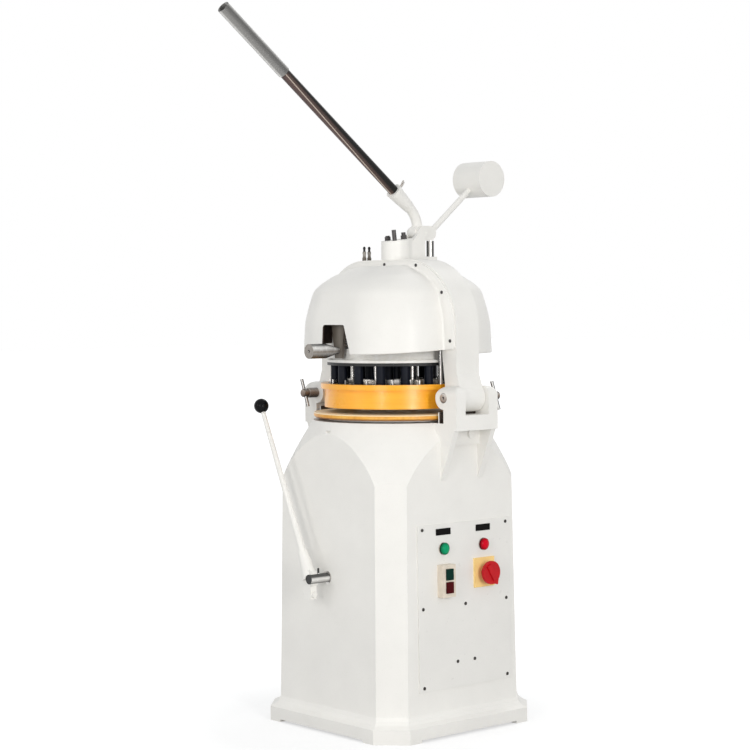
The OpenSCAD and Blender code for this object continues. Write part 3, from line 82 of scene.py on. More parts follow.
# Bars: how far wear shifts their painted reflection bands, where the painted shade of a thread's
# furrow starts, and the near-black for blacked faces
WEAR_SHIFT, THREAD_PHASE, NEAR_BLACK = 0.008, 0.25, (0.012, 0.012, 0.012)


class Surface:
    """A node material with a Principled shader and short helpers for its textures."""

    def __init__(self, name, color, rough, metal=0.0, **sockets):
        self.mat = bpy.data.materials.new(name)
        self.mat.use_nodes = True
        self.tree = self.mat.node_tree
        self.shader = self.tree.nodes["Principled BSDF"]
        self.put("Base Color", (*color, 1))
        self.put("Roughness", rough)
        self.put("Metallic", metal)
        for key, value in sockets.items():
            self.put(key.replace("_", " "), value)
        coords = self.tree.nodes.new("ShaderNodeTexCoord")
        self.where = coords.outputs["Object"]
        self.facing = coords.outputs["Normal"]
        self.normal = None

    def put(self, socket, value):
        self.shader.inputs[socket].default_value = value

    def link(self, a, b):
        self.tree.links.new(a, b)

    def node(self, kind, **values):
        n = self.tree.nodes.new(kind)
        for key, value in values.items():
            setattr(n, key, value)
        return n

    def stretch(self, scale):
        """Coordinates of the piece, scaled on each axis."""
        m = self.node("ShaderNodeMapping")
        m.inputs["Scale"].default_value = scale
        self.link(self.where, m.inputs["Vector"])
        return m.outputs["Vector"]

    def noise(self, scale, detail=3.0, rough=0.55, at=None):
        n = self.node("ShaderNodeTexNoise")
        n.inputs["Scale"].default_value = scale
        n.inputs["Detail"].default_value = detail
        n.inputs["Roughness"].default_value = rough
        self.link(at or self.where, n.inputs["Vector"])
        return n.outputs["Fac"]

    def ramp(self, fac, stops):
        """Colour by a value, from (place, colour) stops."""
        r = self.node("ShaderNodeValToRGB")
        els = r.color_ramp.elements
        while len(els) < len(stops):
            els.new(0.5)
        for e, (at, c) in zip(els, stops):
            e.position = at
            e.color = (*c, 1)
        self.link(fac, r.inputs["Fac"])
        return r.outputs["Color"]

    def along(self, vector, axis):
        """How far a vector reaches along a fixed axis of the piece."""
        d = self.node("ShaderNodeVectorMath", operation="DOT_PRODUCT")
        d.inputs[1].default_value = axis
        self.link(vector, d.inputs[0])
        return d.outputs["Value"]

    def line(self, value, slope, start, more=None):
        """slope * value + start, or + another value in place of start."""
        m = self.node("ShaderNodeMath", operation="MULTIPLY_ADD")
        m.inputs[1].default_value = slope
        m.inputs[2].default_value = start
        self.link(value, m.inputs[0])
        if more:
            self.link(more, m.inputs[2])
        return m.outputs["Value"]

    def share(self, axis, low, high):
        """0 to 1 from one place to another along an axis of the piece."""
        return self.line(self.along(self.where, axis), 1 / (high - low), -low / (high - low))

    def paint(self, color):
        self.link(color, self.shader.inputs["Base Color"])

    def blend(self, fac, a, b, kind="MIX"):
        m = self.node("ShaderNodeMix", data_type="RGBA", blend_type=kind)
        if isinstance(fac, float):
            m.inputs[MIX_FAC].default_value = fac
        else:
            self.link(fac, m.inputs[MIX_FAC])
        for socket, color in ((MIX_A, a), (MIX_B, b)):
            if isinstance(color, tuple):
                m.inputs[socket].default_value = (*color, 1)
            else:
                self.link(color, m.inputs[socket])
        return m.outputs[MIX_OUT]

    def gloss(self, fac, low, high):
        """Roughness between two values, by a texture."""
        m = self.node("ShaderNodeMapRange")
        m.inputs["From Min"].default_value = NOISE_LOW
        m.inputs["From Max"].default_value = NOISE_HIGH
        m.inputs["To Min"].default_value = low
        m.inputs["To Max"].default_value = high
        self.link(fac, m.inputs["Value"])
        self.link(m.outputs["Result"], self.shader.inputs["Roughness"])

    def bump(self, fac, depth, strength=1.0):
        """Relief by a texture, on top of any relief laid before it."""
        b = self.node("ShaderNodeBump")
        b.inputs["Strength"].default_value = strength
        b.inputs["Distance"].default_value = depth
        self.link(fac, b.inputs["Height"])
        if self.normal:
            self.link(self.normal, b.inputs["Normal"])
        self.normal = b.outputs["Normal"]
        self.link(self.normal, self.shader.inputs["Normal"])


def shade(color, k):
    """A colour made lighter or darker."""
    return tuple(min(1.0, c * k) for c in color)


def warm(tone):
    """Warm grey of one tone; a full colour stays as it is."""
    return tone if isinstance(tone, tuple) else (tone, tone * 0.985, tone * 0.96)


def enamel(name, color, rough=0.46, cast=0.00035, peel=0.00004, grime=0.94):
    """Brushed-on enamel over a casting: uneven ground, orange peel, faint clouding and specks."""
    s = Surface(name, color, rough, Coat_Weight=0.06, Coat_Roughness=0.25)
    cloud = s.noise(scale=5.5, detail=4, rough=0.6)
    speck = s.noise(scale=520, detail=2, rough=0.5)
    base = s.ramp(cloud, [(0.3, shade(color, grime)), (0.72, color)])
    dots = s.ramp(speck, [(0.27, (0.86, 0.84, 0.80)), (0.36, ON)])
    s.paint(s.blend(0.6, base, dots, "MULTIPLY"))
    s.gloss(s.noise(scale=60), rough - 0.06, rough + 0.08)
    s.bump(s.noise(scale=26, rough=0.5), cast)
    s.bump(s.noise(scale=420, detail=2, rough=0.5), peel)
    return s.mat


def plastic(name, color, rough, peel=0.00003, dark=0.86, spec=0.5):
    """Moulded plastic with a fine spark-eroded grain."""
    s = Surface(name, color, rough, Specular_IOR_Level=spec)
    cloud = s.noise(scale=45, detail=4)
    s.paint(s.ramp(cloud, [(NOISE_LOW, shade(color, dark)), (NOISE_HIGH, color)]))
    s.gloss(s.noise(scale=160), max(0.04, rough - 0.05), rough + 0.07)
    s.bump(s.noise(scale=1300, detail=2), peel)
    return s.mat


def steel(name, color, rough, along=EVEN, dark=0.7, line=0.00002, stain=None):
    """Machined steel with tool marks drawn out along one direction."""
    s = Surface(name, color, rough, metal=1.0)
    marks = s.noise(scale=260, detail=4, rough=0.6, at=s.stretch(along))
    soil = s.noise(scale=38, detail=4, rough=0.62)
    base = s.ramp(marks, [(0.28, shade(color, dark)), (0.7, color)])
    if stain:
        veil = s.ramp(soil, [(0.42, ON), (0.68, stain)])
        base = s.blend(0.85, base, veil, "MULTIPLY")
    s.paint(base)
    s.gloss(soil, rough - 0.07, rough + 0.1)
    s.bump(marks, line)
    return s.mat


def turned(name, color, rough, metal, pitch, depth, dark=0.88):
    """Face-turned surface with fine rings about the vertical axis."""
    s = Surface(name, color, rough, metal)
    wave = s.node("ShaderNodeTexWave", wave_type="RINGS", rings_direction="Z")
    wave.inputs["Scale"].default_value = pitch
    wave.inputs["Distortion"].default_value = 1.5
    wave.inputs["Detail"].default_value = 2
    s.link(s.where, wave.inputs["Vector"])
    soil = s.noise(scale=22, detail=4, rough=0.6)
    base = s.ramp(soil, [(NOISE_LOW, shade(color, dark)), (NOISE_HIGH, color)])
    s.paint(s.blend(0.35, base, wave.outputs["Color"], "SOFT_LIGHT"))
    s.gloss(soil, rough - 0.05, rough + 0.1)
    s.bump(wave.outputs["Fac"], depth, strength=0.4)
    return s.mat


def reflection_banded(name, toward, stops, rough, metal=0.25, spec=0.5,
           fade=None, span=1.0, blacked=(), pitch=0.0):
    """Polished bar with painted reflection: long light and dark bands round its girth, as a bright
    and dark room would leave them, laid by the way each face looks.

    fade shifts the painted bands along an axis, blacked darkens faces past a place or a direction,
    and pitch paints shade into the furrows of a thread along Y.
    """
    s = Surface(name, (0.4, 0.4, 0.4), rough, metal, Specular_IOR_Level=spec)
    girth = s.line(s.along(s.facing, toward), 0.5 / span, 0.5 / span)
    if fade:
        axis, slope, start = fade
        girth = s.line(s.along(s.where, axis), slope / span, 0.0, girth)
        girth = s.line(girth, 1.0, start / span)
    wear = s.noise(scale=90, detail=4, rough=0.6)
    girth = s.line(wear, WEAR_SHIFT, 0.0, girth)
    # Painted reflection: light and dark bands by the way a face looks
    bands = s.ramp(girth, [(at / span, warm(c)) for at, c in stops])
    rubbed = s.ramp(wear, [(0.35, (0.86, 0.84, 0.82)), (0.6, ON)])
    tone = s.blend(0.3, bands, rubbed, "MULTIPLY")
    # Painted shade in a thread's furrows, darkest at the root
    if pitch:
        turn = s.node("ShaderNodeMath", operation="FRACT")
        s.link(s.line(s.along(s.where, Y), 1 / pitch, THREAD_PHASE), turn.inputs[0])
        root, flank = (0.12, 0.09, 0.08), (0.5, 0.42, 0.36)
        furrow_shade = s.ramp(turn.outputs[0], [
            (0.0, root), (0.3, flank), (0.55, ON), (0.8, flank), (1.0, root)])
        tone = s.blend(1.0, tone, furrow_shade, "MULTIPLY")
    for value, axis, at, over in blacked:
        reach = s.line(s.along(getattr(s, value), axis), 1 / over, 0.5 - at / over)
        tone = s.blend(s.ramp(reach, [(0.4, OFF), (0.6, ON)]), tone, NEAR_BLACK)
    s.paint(tone)
    s.gloss(wear, max(0.05, rough - 0.06), rough + 0.08)
    return s.mat


def layered(name, low, high, stops, rough, marks=260, axis=Z, spec=0.35):
    """Surface whose colour changes along one axis by given stops; on the press plate and knife arm
    these stops are painted shade and reflection.
    """
    s = Surface(name, stops[-1][1], rough, Specular_IOR_Level=spec)
    soil = s.noise(scale=48, detail=4, rough=0.6)
    grain = s.noise(scale=marks, at=s.stretch((1, 1, 6)))
    veil = s.ramp(soil, [(0.34, (0.88, 0.86, 0.82)), (0.6, ON)])
    s.paint(s.blend(0.7, s.ramp(s.share(axis, low, high), stops), veil, "MULTIPLY"))
    s.gloss(soil, rough - 0.06, rough + 0.1)
    s.bump(grain, 0.00004)
    return s.mat


def ring_enamel():
    """Orange enamel on the turned ring, with faint hoops and small chips."""
    s = Surface("ring_orange", (1.0, 0.45, 0.018), 0.3,
                Coat_Weight=0.6, Coat_Roughness=0.3, Specular_IOR_Level=0.3)
    hoops = s.noise(scale=60, rough=0.5, at=s.stretch((0.15, 0.15, 6)))
    flecks = s.noise(scale=210, rough=0.6)
    base = s.ramp(hoops, [(0.3, (0.97, 0.41, 0.012)), (0.7, (1.0, 0.47, 0.018))])
    s.paint(s.blend(s.ramp(flecks, [(0.24, ON), (0.29, OFF)]), base, (0.55, 0.20, 0.02)))
    s.gloss(s.noise(scale=35), 0.24, 0.4)
    s.bump(s.noise(scale=300, detail=2), 0.00003)
    return s.mat


def plate_amber(low, high):
    """Amber moulding plate, browned and floury in streaks, darker towards the bottom of its side,
    with a painted cream highlight along its bevel and its top painted light cream as if lit.
    """
    s = Surface("plate_amber", (0.52, 0.235, 0.045), 0.4,
                Coat_Weight=0.1, Coat_Roughness=0.3, Specular_IOR_Level=0.25)
    streak = s.noise(scale=14, detail=5, rough=0.65, at=s.stretch((1, 1, 9)))
    soil = s.noise(scale=75, detail=4, rough=0.6)
    base = s.ramp(streak, [
        (0.30, (0.68, 0.30, 0.035)), (0.5, (0.84, 0.40, 0.055)), (0.72, (0.93, 0.54, 0.12))])
    veil = s.ramp(soil, [(0.36, (0.80, 0.72, 0.62)), (0.56, ON)])
    height = s.share(Z, low, high)
    layers = s.ramp(height, [(0.0, (0.34, 0.26, 0.20)), (0.20, (0.50, 0.42, 0.34)), (0.34, ON)])
    side = s.blend(1.0, s.blend(0.6, base, veil, "MULTIPLY"), layers, "MULTIPLY")
    # Painted highlight: a cream band along the bevel near the top of the side
    edge = s.ramp(height, [(0.78, OFF), (0.85, ON), (0.96, ON), (1.0, (0.25, 0.25, 0.25))])
    bevel_highlighted = s.blend(edge, side, (0.97, 0.82, 0.53))
    # Painted light: faces that look up are painted light cream, as if brightly lit
    top = s.ramp(s.along(s.facing, Z), [(0.90, OFF), (0.97, ON)])
    s.paint(s.blend(top, bevel_highlighted, s.blend(0.4, (0.96, 0.86, 0.62), veil, "MULTIPLY")))
    s.gloss(soil, 0.28, 0.46)
    s.bump(s.noise(scale=420), 0.00005)
    return s.mat


def lens(name, color, glow):
    """Moulded lamp lens with inner prisms and painted shade darkening its edge."""
    s = Surface(name, color, 0.2, Emission_Strength=0.05, Specular_IOR_Level=0.07)
    s.put("Emission Color", (*color, 1))
    cell = s.node("ShaderNodeTexVoronoi")
    cell.inputs["Scale"].default_value = 420
    s.link(s.where, cell.inputs["Vector"])
    prism = s.ramp(cell.outputs["Distance"], [(0.0, glow), (0.6, color)])
    # Painted shade: the lens darkens where its dome turns aside from the panel's front
    rim = s.ramp(s.along(s.facing, X), [(0.55, (0.12, 0.12, 0.12)), (0.93, ON)])
    s.paint(s.blend(1.0, prism, rim, "MULTIPLY"))
    s.bump(cell.outputs["Distance"], 0.0002, strength=0.4)
    return s.mat


WHITE = (0.865, 0.850, 0.812)
THREAD_PITCH = 0.0042
# Directions across the bars in which their painted reflection bands follow each other
TUBE_GIRTH = (0.515, 0.528, 0.675)
BAR_GIRTH = (0.657, 0.7536, 0.0)
SHAFT_GIRTH = (0.25, 0, 0.97)
# The painted reflection on the lever's tube darkens towards its hub
LEVER_TILT = math.radians(38)
LEVER = Vector((0, -math.cos(LEVER_TILT), math.sin(LEVER_TILT)))
TUBE_FADE, TUBE_SPAN, GRIP_HALF = 0.79, 1.42, 0.135
grip_lo, grip_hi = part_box("lever_grip")
tube_end = (Vector(grip_lo) + Vector(grip_hi)).dot(LEVER) / 2 - GRIP_HALF
# The rounding shaft is black on its front face, and so is its stop pin above this height
SHAFT_BLACK = [("facing", (0, -1, 0), 0.9, 0.2), ("where", Z, 0.468, 0.002)]
# Nodes whose colour changes from one end to the other
press_lo, press_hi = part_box("press_plate")
arm_lo, arm_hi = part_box("knife_handle_arm")
oil_lo, oil_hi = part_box("oilers")
plate_lo, plate_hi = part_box("dough_plate")

M = {
    "white": enamel("white_enamel", WHITE),
    "panel": enamel("panel_enamel", shade(WHITE, 0.965), 0.33, cast=0.00008),
    "fastener_white": enamel("painted_fastener", shade(WHITE, 0.97), 0.34, cast=0.0001),
    "motor": enamel("motor_enamel", (0.17, 0.20, 0.25), 0.4),
    # Painted shade: a dark brown material for the insides of the domes and the saddle pits, which
    # lie in shadow
    "painted_shade": enamel("painted_shade_inside", (0.06, 0.042, 0.034), 0.75, grime=0.8),
    # Painted reflection: tube, grip, bar, handle, shaft and pin take light and dark bands by the
    # way each face looks; the pins also get painted shade in their thread furrows
    "tube": reflection_banded("tube_painted_reflection", TUBE_GIRTH, [
        (0.0, (0.035, 0.024, 0.022)), (0.10, (0.10, 0.068, 0.063)), (0.38, (0.13, 0.088, 0.082)),
        (0.45, (0.10, 0.07, 0.065)), (0.49, (0.55, 0.46, 0.39)), (0.53, (0.55, 0.46, 0.39)),
        (0.58, (0.10, 0.07, 0.063)), (0.76, (0.07, 0.048, 0.043)), (0.90, 0.014),
        (TUBE_SPAN, 0.012)], 0.3, metal=0.0, spec=0.12,
        fade=(LEVER, -TUBE_FADE, TUBE_FADE * tube_end), span=TUBE_SPAN),
    "grip": reflection_banded("brushed_grip_painted_reflection", TUBE_GIRTH, [
        (0.0, 0.10), (0.05, 0.75), (0.13, 0.62), (0.2, 0.30), (0.42, 0.24), (0.6, 0.15),
        (0.8, 0.13), (0.92, 0.3), (1.0, 0.4)], 0.36, metal=0.1, spec=0.25),
    "bar": reflection_banded("bright_bar_painted_reflection", BAR_GIRTH, [
        (0.0, 0.2), (0.12, 0.06), (0.26, 0.12), (0.34, 0.9), (0.66, 0.95), (0.74, 0.1),
        (0.87, 0.05), (1.0, 0.25)], 0.2),
    "handle": reflection_banded("handle_steel_painted_reflection", Z, [
        (0.0, 0.02), (0.10, 0.05), (0.2, 0.16), (0.32, 0.34), (0.48, (0.27, 0.24, 0.21)),
        (0.6, 0.55), (0.72, 0.85), (0.8, 0.7), (0.9, 0.2), (1.0, 0.06)],
        0.25, metal=0.1, spec=0.25),
    "shaft": reflection_banded("chrome_shaft_painted_reflection", SHAFT_GIRTH, [
        (0.0, 0.05), (0.14, 0.06), (0.30, 0.45), (0.46, 0.62), (0.60, 0.82), (0.74, 0.6),
        (0.84, 0.10), (1.0, 0.05)], 0.2, blacked=SHAFT_BLACK),
    "pin": reflection_banded("oiled_steel_painted_light", Z, [
        (0.0, 0.04), (0.2, 0.10), (0.38, (0.30, 0.24, 0.20)), (0.55, (0.5, 0.44, 0.40)),
        (0.72, 0.85), (0.84, 0.5), (1.0, 0.10)],
        0.3, metal=0.1, spec=0.3, pitch=THREAD_PITCH),
    "chrome": steel("polished_chrome", (0.62, 0.60, 0.585), 0.12, along=(0.02, 1, 1),
                    dark=0.82, line=0.0, stain=(0.80, 0.70, 0.60)),
    "steel": steel("bright_steel", (0.60, 0.585, 0.57), 0.27, along=(1, 0.03, 1),
                   dark=0.74, stain=(0.86, 0.80, 0.74)),
    "knife": steel("knife_steel", (0.66, 0.64, 0.61), 0.24, along=(1, 1, 0.05), dark=0.8),
    "dark": steel("black_oxide", (0.085, 0.08, 0.08), 0.42),
    "screw": steel("zinc_screw", (0.07, 0.065, 0.06), 0.40),
    "casting": steel("grey_iron", (0.30, 0.31, 0.33), 0.55, dark=0.8, line=0.0002),
    "alloy": turned("cast_alloy", (0.56, 0.555, 0.53), 0.45, metal=0.25, pitch=260, depth=0.00006),
    "belt": plastic("belt_rubber", (0.02, 0.02, 0.02), 0.75, peel=0.0001),
    "black": plastic("black_bakelite", (0.006, 0.006, 0.007), 0.15,
                     peel=0.00001, dark=0.7, spec=0.08),
    "column": plastic("column_coating", (0.004, 0.006, 0.013), 0.5,
                      peel=0.00004, dark=0.7, spec=0.15),
    "label": plastic("label_black", (0.005, 0.004, 0.004), 0.6, peel=0.00002, dark=0.6, spec=0.06),
    "box": plastic("box_cream", (0.80, 0.71, 0.59), 0.42),
    "green_key": plastic("green_key", (0.001, 0.030, 0.020), 0.4,
                         peel=0.00002, dark=0.7, spec=0.06),
    "red_key": plastic("red_key", (0.075, 0.002, 0.004), 0.4,
                       peel=0.00002, dark=0.7, spec=0.06),
    "yellow": plastic("switch_yellow", (1.0, 0.72, 0.28), 0.45, dark=0.9, spec=0.3),
    "knob": plastic("knob_red", (0.56, 0.006, 0.012), 0.4, peel=0.00002, dark=0.85, spec=0.2),
    # Painted shade and reflection: black on the lower part of the press plate's flange, pale above
    "press": layered("cast_alloy_press_painted_shade", press_lo[2], press_hi[2], [
        (0.0, (0.012, 0.012, 0.013)), (0.17, (0.012, 0.012, 0.013)), (0.19, (0.95, 0.94, 0.91)),
        (0.40, (0.93, 0.92, 0.89)), (0.44, (0.95, 0.94, 0.91)), (1.0, (0.92, 0.91, 0.88))], 0.45),
    # Painted shade: the knife arm is dark at its left, lighter in the middle, and dark to near
    # black at its right edge
    "arm": layered("brown_steel_painted_shade", arm_lo[0], arm_hi[0], [
        (0.0, (0.09, 0.076, 0.064)), (0.3, (0.14, 0.12, 0.10)), (0.6, (0.23, 0.205, 0.175)),
        (0.85, (0.14, 0.12, 0.10)), (0.97, (0.07, 0.06, 0.05)), (1.0, (0.012, 0.011, 0.010))],
        0.34, marks=300, axis=X, spec=0.2),
    "nipple": layered("nipple_steel", oil_lo[2], oil_hi[2], [
        (0.0, (0.10, 0.085, 0.07)), (0.2, (0.16, 0.14, 0.12)), (0.46, (0.34, 0.32, 0.29)),
        (0.6, (0.30, 0.28, 0.25)), (0.66, (0.02, 0.02, 0.02)), (1.0, (0.012, 0.012, 0.013))],
        0.35, marks=400, spec=0.25),
    "ring": ring_enamel(),
    "plate": plate_amber(plate_lo[2], plate_hi[2]),
    "green": lens("lens_green", (0.004, 0.30, 0.125), (0.01, 0.40, 0.19)),
    "red": lens("lens_red", (0.60, 0.001, 0.014), (0.74, 0.006, 0.03)),
}

FINISH = {
    "white": """base_casting saddle_right saddle_left yoke front_cover rear_cover crown_block
        fulcrum_pin lever_hub counterweight_rod counterweight rounding_hub rounding_arm
        rounding_table""",
    "panel": "electrical_panel",
    "fastener_white": "saddle_bolts hub_clamp_bolt",
    "shaft": "rounding_shaft",
    "chrome": "ram_shaft lamp_bezels",
    "tube": "lever_tube",
    "bar": "stop_post tommy_bar_right tommy_bar_left ring_tie_rods",
    "handle": "knife_handle_grip",
    "steel": """panel_screws lever_clamp_screw handle_pivot oilers eccentric_spindle
        driven_pulley motor_pulley motor_bracket rounding_bush""",
    "grip": "lever_grip",
    "arm": "knife_handle_arm",
    "pin": "pin_screw_right pin_screw_left",
    "dark": "cover_screws crown_fasteners",
    "casting": "bearing_housing",
    "alloy": "press_pads",
    "press": "press_plate",
    "knife": "knife_grid",
    "motor": "motor",
    "belt": "drive_belt",
    "black": "rounding_ball terminal_block",
    "column": "press_columns",
    "label": "label_plates",
    "box": "switch_box",
    "green_key": "start_button",
    "red_key": "stop_button",
    "yellow": "main_switch_plate",
    "knob": "main_switch_knob",
    "ring": "cutting_ring",
    "plate": "dough_plate",
    "green": "green_lens",
    "red": "red_lens",
}
for key, names in FINISH.items():
    for n in names.split():
        mesh = nodes[n].data
        mesh.materials.clear()
        mesh.materials.append(M[key])

# Painted shade: faces in the pit between the seat and its lip take the dark shade material
PIT_X, PIT_Z = (0.2640, 0.2865), (0.9035, 0.9370)
for n in ("saddle_right", "saddle_left"):
    mesh = nodes[n].data
    mesh.materials.append(M["painted_shade"])
    for f in mesh.polygons:
        if PIT_X[0] < abs(f.center.x) < PIT_X[1] and PIT_Z[0] < f.center.z < PIT_Z[1]:
            f.material_index = 1

# ---------------------------------------------------------------- edges of the CAD nodes
SHARP_ANGLE, FLAT_ANGLE = math.radians(38), math.radians(0.4)


def soften(names, width, segments=3, angle=28):
    """Smooth shading and a rolled edge on CAD nodes, as modifiers."""
    for n in names.split():
        o = nodes[n]
        o.data.polygons.foreach_set("use_smooth", [True] * len(o.data.polygons))
        o.data.set_sharp_from_angle(angle=SHARP_ANGLE)
        flat = o.modifiers.new("flat", "DECIMATE")
        flat.decimate_type = "DISSOLVE"
        flat.angle_limit = FLAT_ANGLE
        if width:
            edge = o.modifiers.new("edge", "BEVEL")
            edge.width = width
            edge.segments = segments
            edge.limit_method = "ANGLE"
            edge.angle_limit = math.radians(angle)
            edge.use_clamp_overlap = True
            edge.harden_normals = False
        weighted = o.modifiers.new("normals", "WEIGHTED_NORMAL")
        weighted.keep_sharp = True


soften("base_casting", 0.007, 4, angle=20)
soften("yoke crown_block", 0.005, 4)
soften("saddle_right saddle_left", 0.0045, 4)
soften("lever_hub rounding_hub", 0.0035)
soften("electrical_panel", 0.0008, 2)
soften("counterweight", 0.006, 4)
soften("switch_box main_switch_plate main_switch_knob", 0.0022)
soften("start_button stop_button label_plates", 0.0012, 2)
soften("cutting_ring dough_plate press_plate", 0.0018)
soften("knife_handle_arm knife_handle_grip lever_grip rounding_ball", 0.0016)
soften("""saddle_bolts crown_fasteners hub_clamp_bolt lever_clamp_screw stop_post
       tommy_bar_right tommy_bar_left""", 0.0010, 2)
soften("""rounding_shaft rounding_bush rounding_arm lever_tube counterweight_rod
       lamp_bezels oilers""", 0.0008, 2)
soften("""press_columns press_pads ring_tie_rods ram_shaft fulcrum_pin handle_pivot
       panel_screws cover_screws""", 0.0006, 2)
soften("""green_lens red_lens knife_grid terminal_block motor motor_bracket motor_pulley drive_belt
       driven_pulley eccentric_spindle bearing_housing rounding_table
       pin_screw_right pin_screw_left""", 0.0)

# ---------------------------------------------------------------- pieces
# Vertices closer than this are one, and so are CAD vertices alike to this many decimals
MERGE, WELD_DECIMALS = 1e-6, 5


def with_outward_normals(mesh, merge=0.0):
    """Turn all faces of a mesh outwards, and join vertices closer than merge."""
    bm = bmesh.new()
    bm.from_mesh(mesh)
    if merge:
        bmesh.ops.remove_doubles(bm, verts=bm.verts, dist=merge)
    bmesh.ops.recalc_face_normals(bm, faces=bm.faces)
    bm.to_mesh(mesh)
    bm.free()


def build(name, verts, faces, mat, body, stands_for=(), smooth=40):
    """A mesh piece drawn about the press axis, in metres, riding on a body."""
    mesh = bpy.data.meshes.new(name)
    mesh.from_pydata([(x, y + AXIS.y, z) for x, y, z in verts], [], faces)
    mesh.validate()
    with_outward_normals(mesh, MERGE)
    mesh.polygons.foreach_set("use_smooth", [True] * len(mesh.polygons))
    mesh.set_sharp_from_angle(angle=math.radians(smooth))
    mesh.materials.append(mat)
    o = bpy.data.objects.new(name, mesh)
    scene.collection.objects.link(o)
    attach(o, body)
    if stands_for:
        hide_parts(*stands_for)
    return o


def strip(rows, closed=False, capped=False):
    """Vertices and faces of a net through rows of equal length."""
    n, m = len(rows[0]), len(rows)
    verts = [p for row in rows for p in row]
    faces = []
    for i in range(m if closed else m - 1):
        a, b = i * n, (i + 1) % m * n
        faces += [(a + j, a + j + 1, b + j + 1, b + j) for j in range(n - 1)]
    if capped:
        faces.append(tuple(i * n for i in range(m)))
        faces.append(tuple(i * n + n - 1 for i in range(m)))
    return verts, faces


def joined(nets):
    """One net from several."""
    verts, faces = [], []
    for v, f in nets:
        base = len(verts)
        verts += v
        faces += [tuple(i + base for i in face) for face in f]
    return verts, faces


def even(points, count):
    """A polyline cut into steps of equal length."""
    pts = np.array(points, float)
    step = np.r_[0, np.cumsum(np.hypot(*np.diff(pts, axis=0).T))]
    at = np.linspace(0, step[-1], count)
    return np.stack([np.interp(at, step, pts[:, k]) for k in (0, 1)], 1)


def eased(points, count, fine=200, passes=50):
    """A polyline drawn again with its corners rounded off and its ends kept."""
    line = even(points, fine)
    for _ in range(passes):
        line[1:-1] = (line[:-2] + 2 * line[1:-1] + line[2:]) / 4
    pick = np.linspace(0, fine - 1, count)
    return np.stack([np.interp(pick, np.arange(fine), line[:, k]) for k in (0, 1)], 1)


# Domes: rim height, height, half width, depth off the yoke, and how far the top draws in
RIM_Z, DOME_H, DOME_HALF, DOME_DEPTH, DOME_INSET = 1.112, 0.260, 0.258, 0.206, 0.155
# Shares of height and draw along the dome's profile, and its rows
RISE = [0, 0.32, 0.49, 0.68, 0.765, 0.85, 0.905, 0.94, 0.955]
RUN = [0, 0.03, 0.09, 0.18, 0.32, 0.535, 0.76, 0.9, 1]
DOME_ROWS = 44
# Points along the dome's outline, and rows round its lip
SIDE_POINTS, CORNER_POINTS, FRONT_POINTS, LIP_ROWS = 7, 22, 9, 7
# Corner radius as a share of the half width, and at most of the depth
CORNER, CORNER_MOST = 0.72, 0.985
COVER_T = 0.005
YOKE_FRONT, YOKE_REAR = -0.040, 0.050
# The front rim's rise at the yoke, at the front and at the left, which fades up the dome
RIM_BACK, RIM_FRONT, RIM_LEFT, RIM_FADE = 0.003, -0.009, 0.014, 0.6
REAR_DROP = 0.011
# Screwed flange on the yoke face: half width, lower corner, upper arc, rounded edge
FLANGE_HALF, FLANGE_FOOT_R, FLANGE_R, FLANGE_R_Z = 0.299, 0.012, 0.200, 1.175
FLANGE_T, FLANGE_EDGE, COVE_R = 0.005, 0.0016, 0.007
EDGE_MID = 0.3 * FLANGE_EDGE
FOOT_POINTS, ARC_POINTS, FLANGE_POINTS, COVE_ROWS = 8, 40, 161, 7
# Overlap of flange and dome, and the hairline between flange and yoke
TUCK, HAIRLINE = -0.002, 0.0002
DOME_SMOOTH = 50


def quarter(count):
    """Angles of a quarter turn."""
    return np.linspace(0, math.pi / 2, count)


def mirrored(points):
    """The left half of an outline, from its right half."""
    return [(-x, v) for x, v in reversed(points)]


def dome_line(half, depth):
    """Outline of the dome at one height, from one yoke face corner round the front to the other."""
    r = min(half * CORNER, depth * CORNER_MOST)
    side = [(half, v) for v in np.linspace(0, depth - r, SIDE_POINTS)[:-1]]
    arc = [(half - r + r * math.cos(a), depth - r + r * math.sin(a))
           for a in quarter(CORNER_POINTS)]
    front = [(x, depth) for x in np.linspace(half - r, 0, FRONT_POINTS)[1:]]
    right_half = side + arc + front
    return right_half + mirrored(right_half[:-1])


def outward(line):
    """Unit normals of a flat outline."""
    tang = np.gradient(line, axis=0)
    normal = np.stack([tang[:, 1], -tang[:, 0]], 1)
    return normal / np.linalg.norm(normal, axis=1)[:, None]


def placed_on_yoke(front):
    """Function from (across, off the yoke face, height) to a place about the press axis."""
    def put(x, v, z):
        if front:
            hang = max(0.0, 1 - (z - RIM_Z) / (RIM_FADE * DOME_H))
            side = RIM_LEFT * max(0.0, -x) / DOME_HALF
            z += (RIM_BACK + (RIM_FRONT - RIM_BACK) * v / DOME_DEPTH + side) * min(1.0, hang)
        return (x, YOKE_FRONT - v if front else YOKE_REAR + v, z)
    return put


